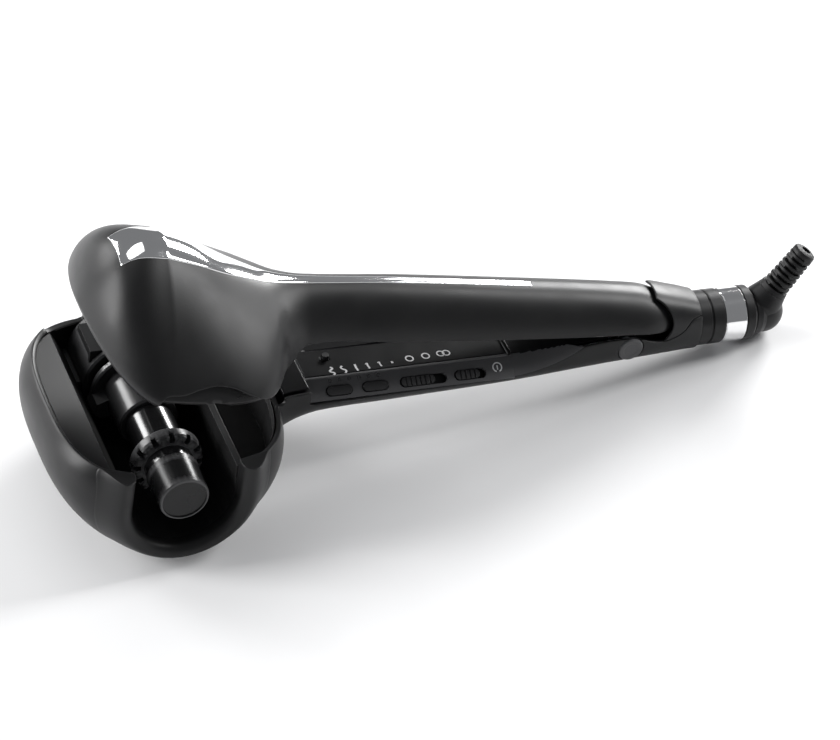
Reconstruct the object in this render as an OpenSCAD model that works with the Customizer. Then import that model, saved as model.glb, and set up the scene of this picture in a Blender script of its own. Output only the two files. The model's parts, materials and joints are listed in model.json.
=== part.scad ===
// Automatic hair curler: two long arms hinged near the cord end.  The lower
// arm carries a bowl-shaped curling head with a heated barrel across it, the
// upper arm a dome that closes over the bowl.
//
// Lengths are millimetres.  The part rests on the belly of its bowl and on
// its rear ring, +Z up, +X from the head to the cord end, the barrel's free
// end towards -Y.  The origin is the centre of the bounding box's base.
// Lower-arm pieces are drawn in the arm's own frame, with the jaw hinge's
// axis through its origin along Y; upper-arm pieces are drawn there as closed.

/* [Arms] */
// Angle between the arms in the rest pose
open_angle = 9.5; // [8:0.5:10]
// Lean of the lower arm when the curler rests on a table
rest_lean = 8.6; // [8.5:0.1:8.9]
// Wall thickness of the housings
wall = 2.2; // [1.8:0.1:2.6]
// Half width of the lower arm at its middle
arm_half = 15.8; // [15.2:0.1:16.4]

/* [Head] */
// Distance from the jaw hinge to the barrel's axis
barrel_reach = 188; // [186:0.5:190]
// Depth of the barrel's axis below the hinge's axis
barrel_drop = 17; // [16.5:0.5:18]
// Half width of the curling head across the arms
head_half = 50; // [49:0.5:51]
// Depth of the bowl below the hinge's axis
bowl_depth = 48; // [47:0.5:49]
// Radius of the curl chamber
chamber_r = 20; // [19.5:0.25:20.5]

/* [Barrel] */
// Radius of the heated barrel
barrel_r = 9.4; // [9:0.1:9.8]
// Radius of the toothed guide ring
guide_r = 13.6; // [13:0.1:14]
// Number of notches round the guide ring
guide_notches = 12; // [8:1:16]
// Radius of the winding rotor's flange
flange_r = 16; // [15:0.25:16.5]

/* [Controls] */
// Number of indicator lights
led_count = 6; // [3:1:6]
// Travel of a push key
key_travel = 0.8; // [0.5:0.1:1]

/* [Cord end] */
// Radius of the rear rings
ring_r = 10.7; // [10.3:0.1:11]
// Angle of the cord outlet above the arm's axis
outlet_angle = 60; // [50:1:70]
// Number of slots in the strain relief
relief_slots = 7; // [5:1:8]

/* [Hidden] */

sides = 36;       // points round a housing section
fine = 48;        // facets shown on round pieces
fit_gap = 0.3;    // clear gap between housings
run_gap = 0.05;   // radial clearance of a shaft in its hole
far = 200;        // reach of a cutting block

// Place of the jaw hinge: the rear ring's lowest point rests at height 0
ring_end = 54.4;
hinge_pos = [75.3, 0, ring_end * sin(rest_lean) + ring_r * cos(rest_lean)];

// Barrel axis and the places along it, from the free end to the drive end
barrel_x = -barrel_reach;
barrel_z = -barrel_drop;
tip_y = -head_half + 4;
cap_len = 15;
guide_y = tip_y + 19.5;
lip_y = tip_y + 43.5;
flange_y = tip_y + 63.5;
gear_y = tip_y + 79;
gear_w = 3;
hub_r = 12.3;
sleeve_r = 11.4;
// Far wall of the curl chamber, and the round hood over the drive behind it
chamber_end = tip_y + 70.6;
hood_r = 18;
hood_start = tip_y + 68.2;
hood_end = head_half - 4.6;

// Drive train: gear module, teeth, and the shafts' places round the barrel axis
gear_m = 0.8;
rotor_teeth = 38;
idler_teeth = 14;
pinion_teeth = 10;
motor_dir = 200;
motor_dist = 27.9;
motor_r = 5;
mesh_slack = 0.1;
idler_dist = (rotor_teeth + idler_teeth) / 2 * gear_m + mesh_slack;
pinion_dist = (idler_teeth + pinion_teeth) / 2 * gear_m + mesh_slack;
// Angle at the rotor between the lines to the motor and to the idler
idler_bend = acos((motor_dist ^ 2 + idler_dist ^ 2 - pinion_dist ^ 2) / (2 * motor_dist * idler_dist));
idler_dir = motor_dir + idler_bend;
motor_at = motor_dist * [cos(motor_dir), sin(motor_dir)];
idler_at = idler_dist * [cos(idler_dir), sin(idler_dir)];
pinion_dir = atan2(motor_at[1] - idler_at[1], motor_at[0] - idler_at[0]);

// Control bevel: a facet along the near side of the lower arm
bevel_y = -8;
bevel_slope = 35;
panel_x0 = -131;
panel_x1 = -48;
panel_t = 1.6;
key_v = 6;
led_v = 1.9;
key_x = [-118.5, -104];
slide_x = [-84.7, -65.7];
slide_window = [19, 13];
knob_len = [13.6, 9.8];
key_len = 10;
key_h = 3.5;
stem_top = -3.4;

// ---------- housing sections ----------

// Rows of [x, half width, crest, widest level, floor, power] of the upper arm, closed
upper_keys = [
    [-200, 46.5, 36, -3.5, -11, 1.24],
    [-186, 47, 31.6, -3.5, -12, 1.24],
    [-173, 46.3, 26, -3.5, -13, 1.24],
    [-162, 42.5, 22.2, -3.5, -13, 1.27],
    [-155, 36, 20.2, -3, -13, 1.32],
    [-148, 25, 19.4, -2, -11, 1.4],
    [-138, 17.2, 19.2, 0, -8, 1.5],
    [-100, arm_half - 0.2, 20, 2, -6, 1.6],
    [-50, arm_half - 0.9, 19.8, 4, -5, 1.65],
    [0, arm_half - 2, 19, 6, -4, 1.7],
    [22, arm_half - 3, 16.5, 8.3, -1.6, 1.8]];
upper_nose = [-225.5, -200];
upper_tail = [3, 22];
nose_level = 7.3;
nose_power = 2;
floor_power = 2.4;
ridge_soft = 0.1;

// Rows of [x, half width, top, widest level, bottom] of the lower arm
lower_keys = [
    [-170, 27, 12, -4, -34],
    [-155, 21.5, 11, -4, -29.5],
    [-141, 17.6, 10, -4, -23],
    [-134, 16.9, 10, -4, -18],
    [-125, 16.4, 10, -4, -15.1],
    [-95, arm_half + 0.2, 10, -4, -13.8],
    [-50, arm_half - 0.5, 10, -4, -12],
    [-10, arm_half - 1.5, 14, -1, -10.3],
    [8, arm_half - 2.2, 18.4, 0, -9.9],
    [22, arm_half - 3.6, 15, 0, -10.1],
    [32, 10.9, 11.4, 0, -10.7]];
lower_power = 2.35;

// Bottom edge of the upper arm, closed, as [x, z]
upper_edge = [[-230, -14], [-207, -13], [-205, -5], [-203, -1], [-196, 0], [-190, 1.8], [-183, 2.8], [-176, 1.8],
    [-170, -0.4], [-163, -2.8], [-156, -4.6], [-150, -5], [-145, -3.4], [-139, 1.5], [-99, 2.7], [-58, 4.2],
    [-16, 6], [0, 7], [30, 7.4]];
// Bottom edge of the upper liner's skirt, closed
skirt_edge = [[-206, -11], [-200, -12.5], [-196, -11.6], [-192, -9], [-188, -5.5], [-183, -3.8], [-178, -4.8],
    [-173, -6.4], [-169, -7.2], [-165, -10], [-161, -12.3], [-156, -12], [-151, -9.2], [-147, -4.4], [-143, -0.2],
    [-139, 2.1], [-99, 3.3], [-58, 4.8], [-16, 6.6], [0, 7.6], [30, 8]];
// Top edge of the lower arm
lower_edge = [[-240, -2.5], [-150, -2.5], [-146, -1.4], [-141, 0], [-99, 0.6], [-58, 2], [-24, 4], [-8, 5.2],
    [2, 4.6], [11, 1.6], [16, 1.4], [22, 3.5], [27, 8], [60, 8]];

function slope_at(t, i, c) =
    i == 0 ? (t[1][c] - t[0][c]) / (t[1][0] - t[0][0]) :
    i == len(t) - 1 ? (t[i][c] - t[i - 1][c]) / (t[i][0] - t[i - 1][0]) :
    (t[i + 1][c] - t[i - 1][c]) / (t[i + 1][0] - t[i - 1][0]);

// Column c of rows t at x, by cubic pieces that join smoothly
function smooth(t, x, c, i = 0) =
    (i < len(t) - 2 && x > t[i + 1][0]) ? smooth(t, x, c, i + 1) :
    let (
        h = t[i + 1][0] - t[i][0],
        s = (x - t[i][0]) / h,
        a = t[i][c],
        b = t[i + 1][c],
        p = slope_at(t, i, c) * h,
        q = slope_at(t, i + 1, c) * h)
    a + s * (p + s * (3 * (b - a) - 2 * p - q + s * (2 * (a - b) + p + q)));

function signed_pow(v, p) = sign(v) * pow(abs(v), p);

// Share of the half width counted from a softened ridge line
function softened(q) = (sqrt(q * q + ridge_soft ^ 2) - ridge_soft) / (sqrt(1 + ridge_soft ^ 2) - ridge_soft);
function gable(q, power) = pow(max(0, 1 - pow(softened(q), power)), 1 / power);

// Closed section at x: half width w, level m, a ridged top rising u and a round floor dropping d
function ridged_section(x, w, m, u, d, power) = [
    for (i = [0 : sides - 1])
        let (
            a = 360 * i / sides,
            c = cos(a),
            s = sin(a),
            q = pow(abs(c), 2 / (s > 0 ? power : floor_power)))
        [x, w * sign(c) * q, s > 0 ? m + u * gable(q, power) : m + d * signed_pow(s, 2 / floor_power)]];

// Closed oval section at x
function section(x, w, m, u, d, power) = [
    for (i = [0 : sides - 1])
        let (a = 360 * i / sides, c = cos(a), s = sin(a))
        [x, w * signed_pow(c, 2 / power), m + (s > 0 ? u : d) * signed_pow(s, 2 / power)]];

// Stations from a to b, crowded towards a blunt end at a (and at b)
function crowded(a, b, n) = [for (i = [0 : n - 1]) a + (b - a) * (1 - cos(90 * i / n))];
function even(a, b, n) = [for (i = [0 : n - 1]) a + (b - a) * i / n];

// Factor that closes a section towards the end at e from s
function closing(x, s, e, p, q) = pow(max(0, 1 - pow(min(1, max(0, (s - x) / (s - e))), p)), 1 / q);

// Sizes of the upper arm at x, its surface moved inwards by gap: [half width, level, rise, drop, power]
function upper_at(x, gap) =
    let (
        tail = closing(-x, -upper_tail[0], -upper_tail[1] + gap, 2.2, 2.2),
        t = min(1, max(0, (upper_nose[1] - x) / (upper_nose[1] - upper_nose[0] - gap))),
        wide = closing(x, upper_nose[1], upper_nose[0] + gap, 2, 1.54) * tail,
        high = closing(x, upper_nose[1], upper_nose[0] + gap, 2.7, 1.34) * tail,
        xk = max(x, upper_nose[1]),
        m = smooth(upper_keys, xk, 3),
        n = smooth(upper_keys, xk, 5))
    [
        (smooth(upper_keys, xk, 1) - gap) * wide,
        m + (nose_level - m) * t * t,
        (smooth(upper_keys, xk, 2) - m - gap) * high,
        (m - smooth(upper_keys, xk, 4) - gap) * high,
        n + (nose_power - n) * t * t];

module skin(rings) {
    m = len(rings);
    n = len(rings[0]);
    polyhedron(
        points = [for (r = rings) each r],
        faces = concat(
            [[for (i = [0 : n - 1]) i]],
            [for (j = [0 : m - 2], i = [0 : n - 1]) [j * n + i, (j + 1) * n + i, (j + 1) * n + (i + 1) % n]],
            [for (j = [0 : m - 2], i = [0 : n - 1]) [j * n + i, (j + 1) * n + (i + 1) % n, j * n + (i + 1) % n]],
            [[for (i = [n - 1 : -1 : 0]) (m - 1) * n + i]]),
        convexity = 8);
}

// The upper arm's closed form, its surface moved inwards by gap
module upper_form(gap) {
    x0 = upper_nose[0] + gap;
    x1 = upper_tail[1] - gap;
    stations = concat(
        [for (x = crowded(x0 + 0.02, upper_nose[1], 11)) x],
        even(upper_nose[1], -132, 17),
        even(-132, upper_tail[0], 9),
        [for (i = [0 : 7]) upper_tail[0] + (x1 - 0.02 - upper_tail[0]) * sin(90 * i / 7)]);
    skin([for (x = stations)
        let (a = upper_at(x, gap))
        ridged_section(x, a[0], a[1], a[2], a[3], a[4])]);
}

// The bowl's closed form, moved inwards by gap: level slices from rim to belly
bowl_mid = barrel_x - 0.5;
bowl_front = 43.8;
bowl_rear = 47;
bowl_level = -14;
bowl_rim = -2.5;

module bowl_form(gap, top = bowl_rim) {
    depth = bowl_depth + bowl_level;
    bottom = -bowl_depth + gap;
    levels = concat(
        even(top, bowl_level, 6),
        [for (i = [0 : 12]) bowl_level + (bottom + 0.01 - bowl_level) * sin(90 * i / 12)]);
    skin([for (z = levels)
        let (
            t = max(0, (bowl_level - z) / (depth - gap)),
            lift = max(0, (z - bowl_level) / (bowl_rim - bowl_level)),
            tuck = 4 * pow(lift, 2.3),
            front = (bowl_front - gap) * pow(max(0.0004, 1 - t * t), 0.5) - tuck,
            rear = (bowl_rear - gap) * pow(max(0.0004, 1 - pow(t, 2)), 0.62) - 0.5 * tuck,
            half = (head_half - gap) * pow(max(0.0004, 1 - pow(t, 5)), 0.3) - 0.5 * tuck)
        level_slice(z, front, rear, half)]);
}

// Rounded-oblong outline at height z
plan_power = 3;
function level_slice(z, front, rear, half) = [
    for (i = [0 : sides + 11])
        let (a = -360 * i / (sides + 12), c = cos(a), s = sin(a))
        [bowl_mid + (c > 0 ? rear : front) * signed_pow(c, 2 / plan_power), half * signed_pow(s, 2 / plan_power), z]];

// The lower arm's closed form, moved inwards by gap, from x0 to x1
module arm_form(gap, x0 = -170, x1 = 32) {
    skin([for (x = concat(even(x0, x1, 24), [x1]))
        let (
            w = smooth(lower_keys, x, 1),
            c = smooth(lower_keys, x, 2),
            m = smooth(lower_keys, x, 3),
            d = smooth(lower_keys, x, 4))
        section(x, w - gap, m, c - m - gap, m - d - gap, lower_power)]);
}

// Everything between a parting edge, moved up by lift, and height z, across the part
module beyond_edge(edge, lift, z) {
    x0 = edge[0][0];
    x1 = edge[len(edge) - 1][0];
    rotate([90, 0, 0])
        linear_extrude(height = far, center = true)
            polygon(concat(
                [for (x = concat(even(x0, x1, 64), [x1])) [x, smooth(edge, x, 1) + lift]],
                [[x1, z], [x0, z]]));
}

module in_arm() {
    translate(hinge_pos) rotate([0, rest_lean, 0]) children();
}

module in_upper(angle = open_angle) {
    translate(hinge_pos) rotate([0, rest_lean + angle, 0]) children();
}

// Turned piece along the barrel axis; its profile is [radius, y] points
module turned_y(profile) {
    translate([barrel_x, 0, barrel_z]) rotate([-90, 0, 0]) rotate_extrude($fn = fine) polygon(profile);
}

module turned_x(profile) {
    rotate([0, 90, 0]) rotate_extrude($fn = fine) polygon(profile);
}

module rod_y(x, z, y0, y1, r) {
    translate([x, y0, z]) rotate([-90, 0, 0]) cylinder(r = r, h = y1 - y0, $fn = fine);
}

module block(lo, hi) {
    translate(lo) cube(hi - lo);
}

// ---------- lower arm housings ----------

// Room for the upper arm's tail end as it swings from open to shut
module tail_sweep() {
    for (i = [0 : 4])
        rotate([0, (open_angle + 0.5) * i / 4, 0]) difference() {
            upper_form(-0.7);
            beyond_edge(upper_edge, -0.7, -60);
        }
    translate([-far, -far / 2, 0]) block([0, 0, 8], [far + 2, far, far]);
}

module bevel_cut(inset) {
    translate([panel_x0, bevel_y, 0.3]) rotate([bevel_slope, 0, 0])
        translate([0, -30, -inset]) cube([panel_x1 - panel_x0, 30, 40]);
}

module lower_shell() {
    color("#1b1b1d") in_arm() resize([0, 0, 0]) difference() {
        union() {
            bowl_form(0);
            difference() {
                arm_form(0);
                beyond_edge(lower_edge, 0, 60);
                block([-172, -60, -2.6], [-141.5, 60, 40]);
            }
        }
        difference() {
            bowl_form(wall);
            block([-172, -60, bowl_rim - 2.4], [-60, 60, 40]);
        }
        block([-165, -14, bowl_rim - wall - 0.2], [-143, 14, 5]);
        translate([0, 0, 0.02]) bowl_form(wall + fit_gap - 0.02, bowl_rim + 0.1);
        difference() {
            arm_form(wall, -155, 31);
            block([9, -20, -30], [12, 20, 1.2]);
        }
        tail_sweep();
        bevel_cut(panel_t + fit_gap);
        rim_dip(41);
        mouth_notch(chamber_r + 5.2);
        rod_y(0, 0, -30, 30, 5.3);
        block([31, -20, -20], [40, 20, 20]);
        rotate([0, -rest_lean, 0]) translate(-hinge_pos) block([-far, -far, -60], [0, far, 0]);
    }
}

// U-shaped gap through the near wall round the barrel's free end
module mouth_notch(r) {
    rod_y(barrel_x, barrel_z, -head_half - 5, -head_half + 9, r);
    block([barrel_x - r, -head_half - 5, barrel_z], [barrel_x + r, -head_half + 9, 20]);
}

// Curl chamber, deck and rear pocket as one moulding
deck = bowl_rim - 0.2;
wall_top = -5.8;

// Lowered rim at the far side, between the front facet and the hood
module rim_dip(y0) {
    translate([0, 60, 0]) rotate([90, 0, 0]) linear_extrude(height = 60 - y0)
        polygon([[-224, deck], [-214.5, -6.3], [barrel_x - 12, -6.3], [barrel_x - 12, 20], [-224, 20]]);
}

module chamber_liner() {
    y0 = -head_half + 6.4;
    y1 = hood_end - 1;
    color("#2a2a2c") in_arm() resize([0, 0, 0]) difference() {
        intersection() {
            union() {
                block([-240, -60, deck - 3], [-146, 60, deck]);
                rod_y(barrel_x, barrel_z, y0, chamber_end + 1.8, chamber_r + 2);
                block([barrel_x - chamber_r - 2, y0, barrel_z], [barrel_x + chamber_r + 2, chamber_end + 1.8, deck]);
                flare(2.2);
                pocket(2, -19);
            }
            bowl_form(wall + fit_gap, bowl_rim + 0.1);
            block([-240, y0, -60], [-143, y1, deck]);
        }
        rod_y(barrel_x, barrel_z, -70, chamber_end, chamber_r);
        block([barrel_x - chamber_r, -70, barrel_z], [barrel_x + chamber_r - 0.6, chamber_end, 20]);
        rod_y(barrel_x, barrel_z, -70, 70, hood_r + fit_gap);
        block([barrel_x, -70, wall_top], [barrel_x + chamber_r + 3.6, 70, 20]);
        flare(0);
        rim_dip(41);
        pocket(0, -17);
    }
}

// Sloped facet and slope below it that lead the upper arm's nose into the chamber; raised above by 0
module flare(below) {
    rotate([90, 0, 0]) linear_extrude(height = far, center = true)
        polygon([[-240, deck - below - 1], [-227, deck - below - 0.9], [-214.5 - 0.4 * below, -6.4 - below],
            [barrel_x - chamber_r - 0.9 * below, barrel_z - 0.5 * below], [barrel_x - 16, barrel_z - 0.5 * below],
            [barrel_x - 16, 20], [-240, 20]]);
}

// Rear well that takes the upper liner's skirt
module pocket(grow, floor_z) {
    intersection() {
        hull() {
            for (s = [-1, 1]) {
                translate([-166 - grow, s * (44.4 + grow), floor_z - grow]) cube([2, 0.02, 40]);
                translate([-160.5 + grow, s * 39.4, floor_z - grow]) cylinder(r = 4, h = 40, $fn = 24);
                translate([-155.5 + grow, s * 29, floor_z - grow]) cylinder(r = 5, h = 40, $fn = 24);
                translate([-152.6 + grow, s * 16, floor_z - grow]) cylinder(r = 4.5, h = 40, $fn = 24);
            }
        }
        block([-166.2 - grow, -60, floor_z - grow], [-140, 60, grow > 0 ? deck : 30]);
    }
}

// Bevelled ring round the mouth
module mouth_bezel() {
    r0 = chamber_r + 0.2;
    r1 = chamber_r + 4.9;
    y0 = -head_half;
    profile = [[r0 + 0.6, y0 + 6.2], [r0, y0 + 4.4], [r0 + 0.8, y0 + 3], [r1 - 1.2, y0], [r1, y0 + 0.6],
        [r1, y0 + 3], [r0 + 2.4, y0 + 6.2]];
    color("#3a3a3c") in_arm() translate([barrel_x, 0, barrel_z]) {
        rotate([-90, 0, 0]) rotate_extrude(angle = 180, $fn = fine) polygon(profile);
        for (s = [0, 1]) mirror([s, 0, 0])
            linear_extrude(height = barrel_drop - 4.6) polygon(profile);
    }
}

// Inner face of the lower arm
module inner_cover() {
    color("#1d1d1f") in_arm() resize([0, 0, 0]) difference() {
        intersection() {
            arm_form(wall + fit_gap, -150, 8);
            beyond_edge(lower_edge, -2.2, 60);
            block([-141, -30, -30], [-9, 30, 30]);
        }
        beyond_edge(lower_edge, 0, 60);
        block([panel_x0 - fit_gap, -30, -30], [panel_x1 + fit_gap, 7.4, 30]);
        bevel_cut(panel_t + fit_gap);
    }
}

// Frame of the bevel: u along the arm, v down the slope, w out of it
module on_bevel(u = 0, v = 0, w = 0) {
    translate([u, bevel_y, 0.3]) rotate([bevel_slope, 0, 0]) translate([0, -v, w]) children();
}

// Rounded-end slot standing on the bevel
module capsule(len, wide, high) {
    d = (len - wide) / 2;
    for (s = [-1, 1]) translate([s * d, 0, 0]) cylinder(d = wide, h = high, $fn = 32);
    translate([-d, -wide / 2, 0]) cube([2 * d, wide, high]);
}

module control_panel() {
    v1 = 9.3;
    color("#242427") in_arm() difference() {
        union() {
            on_bevel(panel_x0, v1, -panel_t) cube([panel_x1 - panel_x0, v1, panel_t]);
            block([panel_x0, bevel_y - 0.6, 0.3 - panel_t], [panel_x1, 7, 0.3]);
        }
        for (x = key_x) on_bevel(x, key_v, -4) capsule(key_len + 0.6, key_h + 0.6, 8);
        for (i = [0, 1]) on_bevel(slide_x[i], key_v, -4) capsule(slide_window[i], key_h + 0.6, 8);
        for (i = [0 : led_count - 1]) on_bevel(led_x(i), led_v, -4) cylinder(r = 0.75, h = 8, $fn = 24);
        translate([plunger_at[0], plunger_at[1], -5]) cylinder(r = plunger_r + fit_gap, h = 10, $fn = 32);
    }
}

function led_x(i) = -121.5 + 3.9 * i;

module led_light_pipes() {
    color("#7a7c80") in_arm()
        for (i = [0 : led_count - 1]) on_bevel(led_x(i), led_v, -2.6) cylinder(r = 0.7, h = 2.6, $fn = 24);
}

module control_board() {
    color("#173a2b") in_arm() difference() {
        on_bevel(-127, 6.8, -5.3) cube([74, 7.2, 0.8]);
        for (x = [-124.5, -55.5]) on_bevel(x, 5.5, -8) cylinder(r = 0.8, h = 5, $fn = 24);
    }
}

module key_switches() {
    color("#303238") in_arm() for (x = key_x) on_bevel(x, key_v) {
        translate([-2.2, -1.5, -4.48]) cube([4.4, 3.4, 0.7]);
        translate([0, 0.2, stem_top - 0.4]) cylinder(r = 1.1, h = 0.4, $fn = 24);
    }
}

module slide_switches() {
    color("#34363c") in_arm() for (i = [0, 1]) on_bevel(slide_x[i], key_v)
        translate([-slide_window[i] / 2 - 0.5, -1.4, -4.48]) cube([slide_window[i] + 1, 4.2, 1.2]);
}

// Push key, its base the key's travel above the switch's stem
module push_key(x) {
    w0 = stem_top + key_travel + 0.02;
    color("#2c2c2f") in_arm() on_bevel(x, key_v) {
        translate([0, 0, w0 + 0.7]) capsule(key_len, key_h, 2.4);
        translate([-key_len / 2 - 0.6, -1.75, w0]) cube([key_len + 1.2, 4.1, 0.72]);
    }
}

module push_key_front() {
    push_key(key_x[0]);
}

module push_key_rear() {
    push_key(key_x[1]);
}

// Ribbed knob of a slide switch, at the head end of its window
module slide_knob(i) {
    rest_u = (slide_window[i] - knob_len[i]) / 2 - 0.5;
    color("#2c2c2f") in_arm() on_bevel(slide_x[i] - rest_u, key_v) difference() {
        union() {
            translate([0, 0, -1.85]) capsule(knob_len[i], key_h, 2.25);
            translate([-knob_len[i] / 2 + 0.2, -1.3, -2.7]) cube([knob_len[i] - 0.4, 3.65, 0.9]);
        }
        ribs = knob_len[i] > 11 ? 2.5 : 1.5;
        for (k = [-ribs : 1 : ribs]) translate([k * 1.9 - 0.3, -3, 0]) cube([0.6, 6, 2]);
    }
}

module slide_knob_long() {
    slide_knob(0);
}

module slide_knob_short() {
    slide_knob(1);
}

// ---------- barrel and rotor ----------

module barrel_tube() {
    color("#101012") in_arm()
        turned_y([[7.6, tip_y + cap_len], [barrel_r, tip_y + cap_len], [barrel_r, hood_end - 1.5],
            [7.6, hood_end - 1.5]]);
}

module barrel_end_cap() {
    y0 = tip_y;
    y1 = tip_y + cap_len - 0.1;
    r = barrel_r;
    color("#4a4a4d") in_arm()
        turned_y([[0, y0 + 0.5], [r - 1.1, y0 + 0.5], [r - 1, y0], [r - 0.4, y0], [r, y0 + 0.5], [r + 0.5, y1],
            [7.5, y1], [7.5, y1 + 4], [6, y1 + 4], [6, y0 + 2.4], [0, y0 + 2.4]]);
}

module barrel_guide_ring() {
    r = guide_r;
    color("#55555a") in_arm() difference() {
        turned_y([[barrel_r + 0.02, guide_y], [r - 1.4, guide_y], [r - 0.5, guide_y + 0.5], [r, guide_y + 1.6],
            [r, guide_y + 4.8], [r - 0.6, guide_y + 5.6], [barrel_r + 0.02, guide_y + 5.6]]);
        for (i = [0 : guide_notches - 1])
            translate([barrel_x, guide_y - 0.5, barrel_z]) rotate([0, 360 * i / guide_notches, 0])
                block([-1, 0, r - 3], [1, 2.7, r + 2]);
    }
}

module barrel_heater() {
    color("#d8d4c8") in_arm() difference() {
        rod_y(barrel_x, barrel_z, tip_y + 22, gear_y - 2, 7.2);
        for (s = [-1, 1]) rod_y(barrel_x + s * 3, barrel_z, tip_y + 20, gear_y, 1);
    }
}

module thermal_cutout() {
    color("#b9b3a2") in_arm()
        turned_y([[0, gear_y - 1.8], [4.4, gear_y - 1.8], [4.4, gear_y + 1.2], [1.6, gear_y + 1.2],
            [1.6, gear_y + 2.4], [0, gear_y + 2.4]]);
}

// Fixed flange that holds the barrel at the drive end
module barrel_mount() {
    y0 = hood_end - 4;
    color("#8a8c90") in_arm() difference() {
        rod_y(barrel_x, barrel_z, y0, y0 + 1.6, 15.4);
        rod_y(barrel_x, barrel_z, y0 - 1, y0 + 3, barrel_r + 0.02);
        for (a = [45 : 90 : 315])
            rod_y(barrel_x + 12.6 * cos(a), barrel_z + 12.6 * sin(a), y0 - 1, y0 + 3, 0.9);
    }
}

module winding_rotor() {
    color("#47474b") in_arm() difference() {
        union() {
            turned_y([[barrel_r + run_gap, lip_y], [sleeve_r - 0.8, lip_y], [sleeve_r, lip_y + 0.6],
                [sleeve_r + 0.3, flange_y], [flange_r - 0.7, flange_y], [flange_r, flange_y + 0.7],
                [flange_r, flange_y + 2.4], [flange_r - 0.7, flange_y + 3.1], [hub_r, flange_y + 3.1],
                [hub_r, gear_y - 0.02], [barrel_r + run_gap, gear_y - 0.02]]);
            catch_fin();
        }
        rod_y(barrel_x, barrel_z, lip_y - 1, gear_y, barrel_r + run_gap);
    }
}

// Pointed fin on the flange that picks up the lock of hair
module catch_fin() {
    translate([barrel_x, flange_y + 3, barrel_z]) rotate([90, 0, 0]) rotate([0, 0, 196])
        linear_extrude(height = 9)
            polygon([[10.6, -4.2], [15.5, -3.6], [flange_r + 1.6, 0], [15.5, 3.6], [10.6, 4.2]]);
}

// Gear outline: straight-sided teeth on the pitch circle, slightly thinner than half a pitch
module gear_teeth(teeth, phase) {
    rp = teeth * gear_m / 2;
    tip = rp + 0.85 * gear_m;
    root = rp - 1.05 * gear_m;
    pitch = 360 / teeth;
    flank = [[root, 0.29], [rp - 0.4, 0.25], [rp, 0.215], [rp + 0.4, 0.165], [tip, 0.105]];
    polygon([
        for (i = [0 : teeth - 1], k = [0 : 9])
            let (
                q = flank[k < 5 ? k : 9 - k],
                a = phase + pitch * (i + (k < 5 ? -q[1] : q[1])))
            q[0] * [cos(a), sin(a)]]);
}

// Gear in the plane across the barrel axis, at the given offset from it
module spur_gear(at, teeth, phase, bore) {
    translate([barrel_x + at[0], gear_y + gear_w, barrel_z + at[1]]) rotate([90, 0, 0])
        linear_extrude(height = gear_w) difference() {
            gear_teeth(teeth, phase);
            circle(r = bore, $fn = fine);
        }
}

// Phase of a gear that meshes with another whose phase is given, seen along dir
function mesh_phase(phase, dir, n0, n1) = dir + 180 + 180 / n1 - (phase - dir) * n0 / n1;
idler_phase = mesh_phase(0, idler_dir, rotor_teeth, idler_teeth);
pinion_phase = mesh_phase(idler_phase, pinion_dir, idler_teeth, pinion_teeth);

module rotor_gear() {
    color("#e6e2d4") in_arm() spur_gear([0, 0], rotor_teeth, 0, barrel_r + run_gap);
}

module idler_gear() {
    color("#e6e2d4") in_arm() spur_gear(idler_at, idler_teeth, idler_phase, 1.5 + run_gap);
}

module motor_pinion() {
    color("#c9a227") in_arm() {
        spur_gear(motor_at, pinion_teeth, pinion_phase, 0);
        rod_y(barrel_x + motor_at[0], barrel_z + motor_at[1], gear_y - 8.4, gear_y + 0.1, 1.5);
    }
}

// Round hood of the drive, which is also the far wall of the curl chamber
module gear_housing() {
    color("#3b3b3e") in_arm() difference() {
        turned_y([[hub_r + 0.5, hood_start], [hood_r - 0.8, hood_start], [hood_r, hood_start + 0.8],
            [hood_r, hood_end - 0.6], [hood_r - 0.6, hood_end], [0, hood_end], [0, hood_end - 1.3],
            [15.6, hood_end - 1.3], [15.6, hood_end - 4.2], [16.3, hood_end - 4.2], [16.3, hood_start + 1.4],
            [hub_r + 0.5, hood_start + 1.4]]);
        rod_y(barrel_x + idler_at[0], barrel_z + idler_at[1], gear_y - 3, gear_y + gear_w + 0.6, 7);
    }
}

module gear_motor() {
    x = barrel_x + motor_at[0];
    z = barrel_z + motor_at[1];
    color("#9a9ca0") in_arm() difference() {
        union() {
            rod_y(x, z, gear_y - 37, gear_y - 4, motor_r);
            rod_y(x, z, gear_y - 40, gear_y - 36.9, 2);
        }
        rod_y(x, z, gear_y - 8.5, gear_y, 1.5 + run_gap);
    }
}

// Clamp round the motor's end, with the idler's post
module motor_bracket() {
    y = gear_y - 3.9;
    color("#77797d") in_arm() {
        translate([barrel_x, y + 1.4, barrel_z]) rotate([90, 0, 0]) linear_extrude(height = 1.4) difference() {
            hull() {
                translate(motor_at) circle(r = motor_r - 0.4, $fn = 32);
                translate(idler_at) circle(r = 2.4, $fn = 32);
            }
            translate(motor_at) circle(r = 2, $fn = 32);
        }
        rod_y(barrel_x + idler_at[0], barrel_z + idler_at[1], y + 1.3, gear_y + gear_w + 0.4, 1.5);
    }
}

// ---------- hinge and tail ----------

pin_r = 2;
yoke_y = [6.8, 8.6];
screw_x = [-26, -13];

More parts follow.
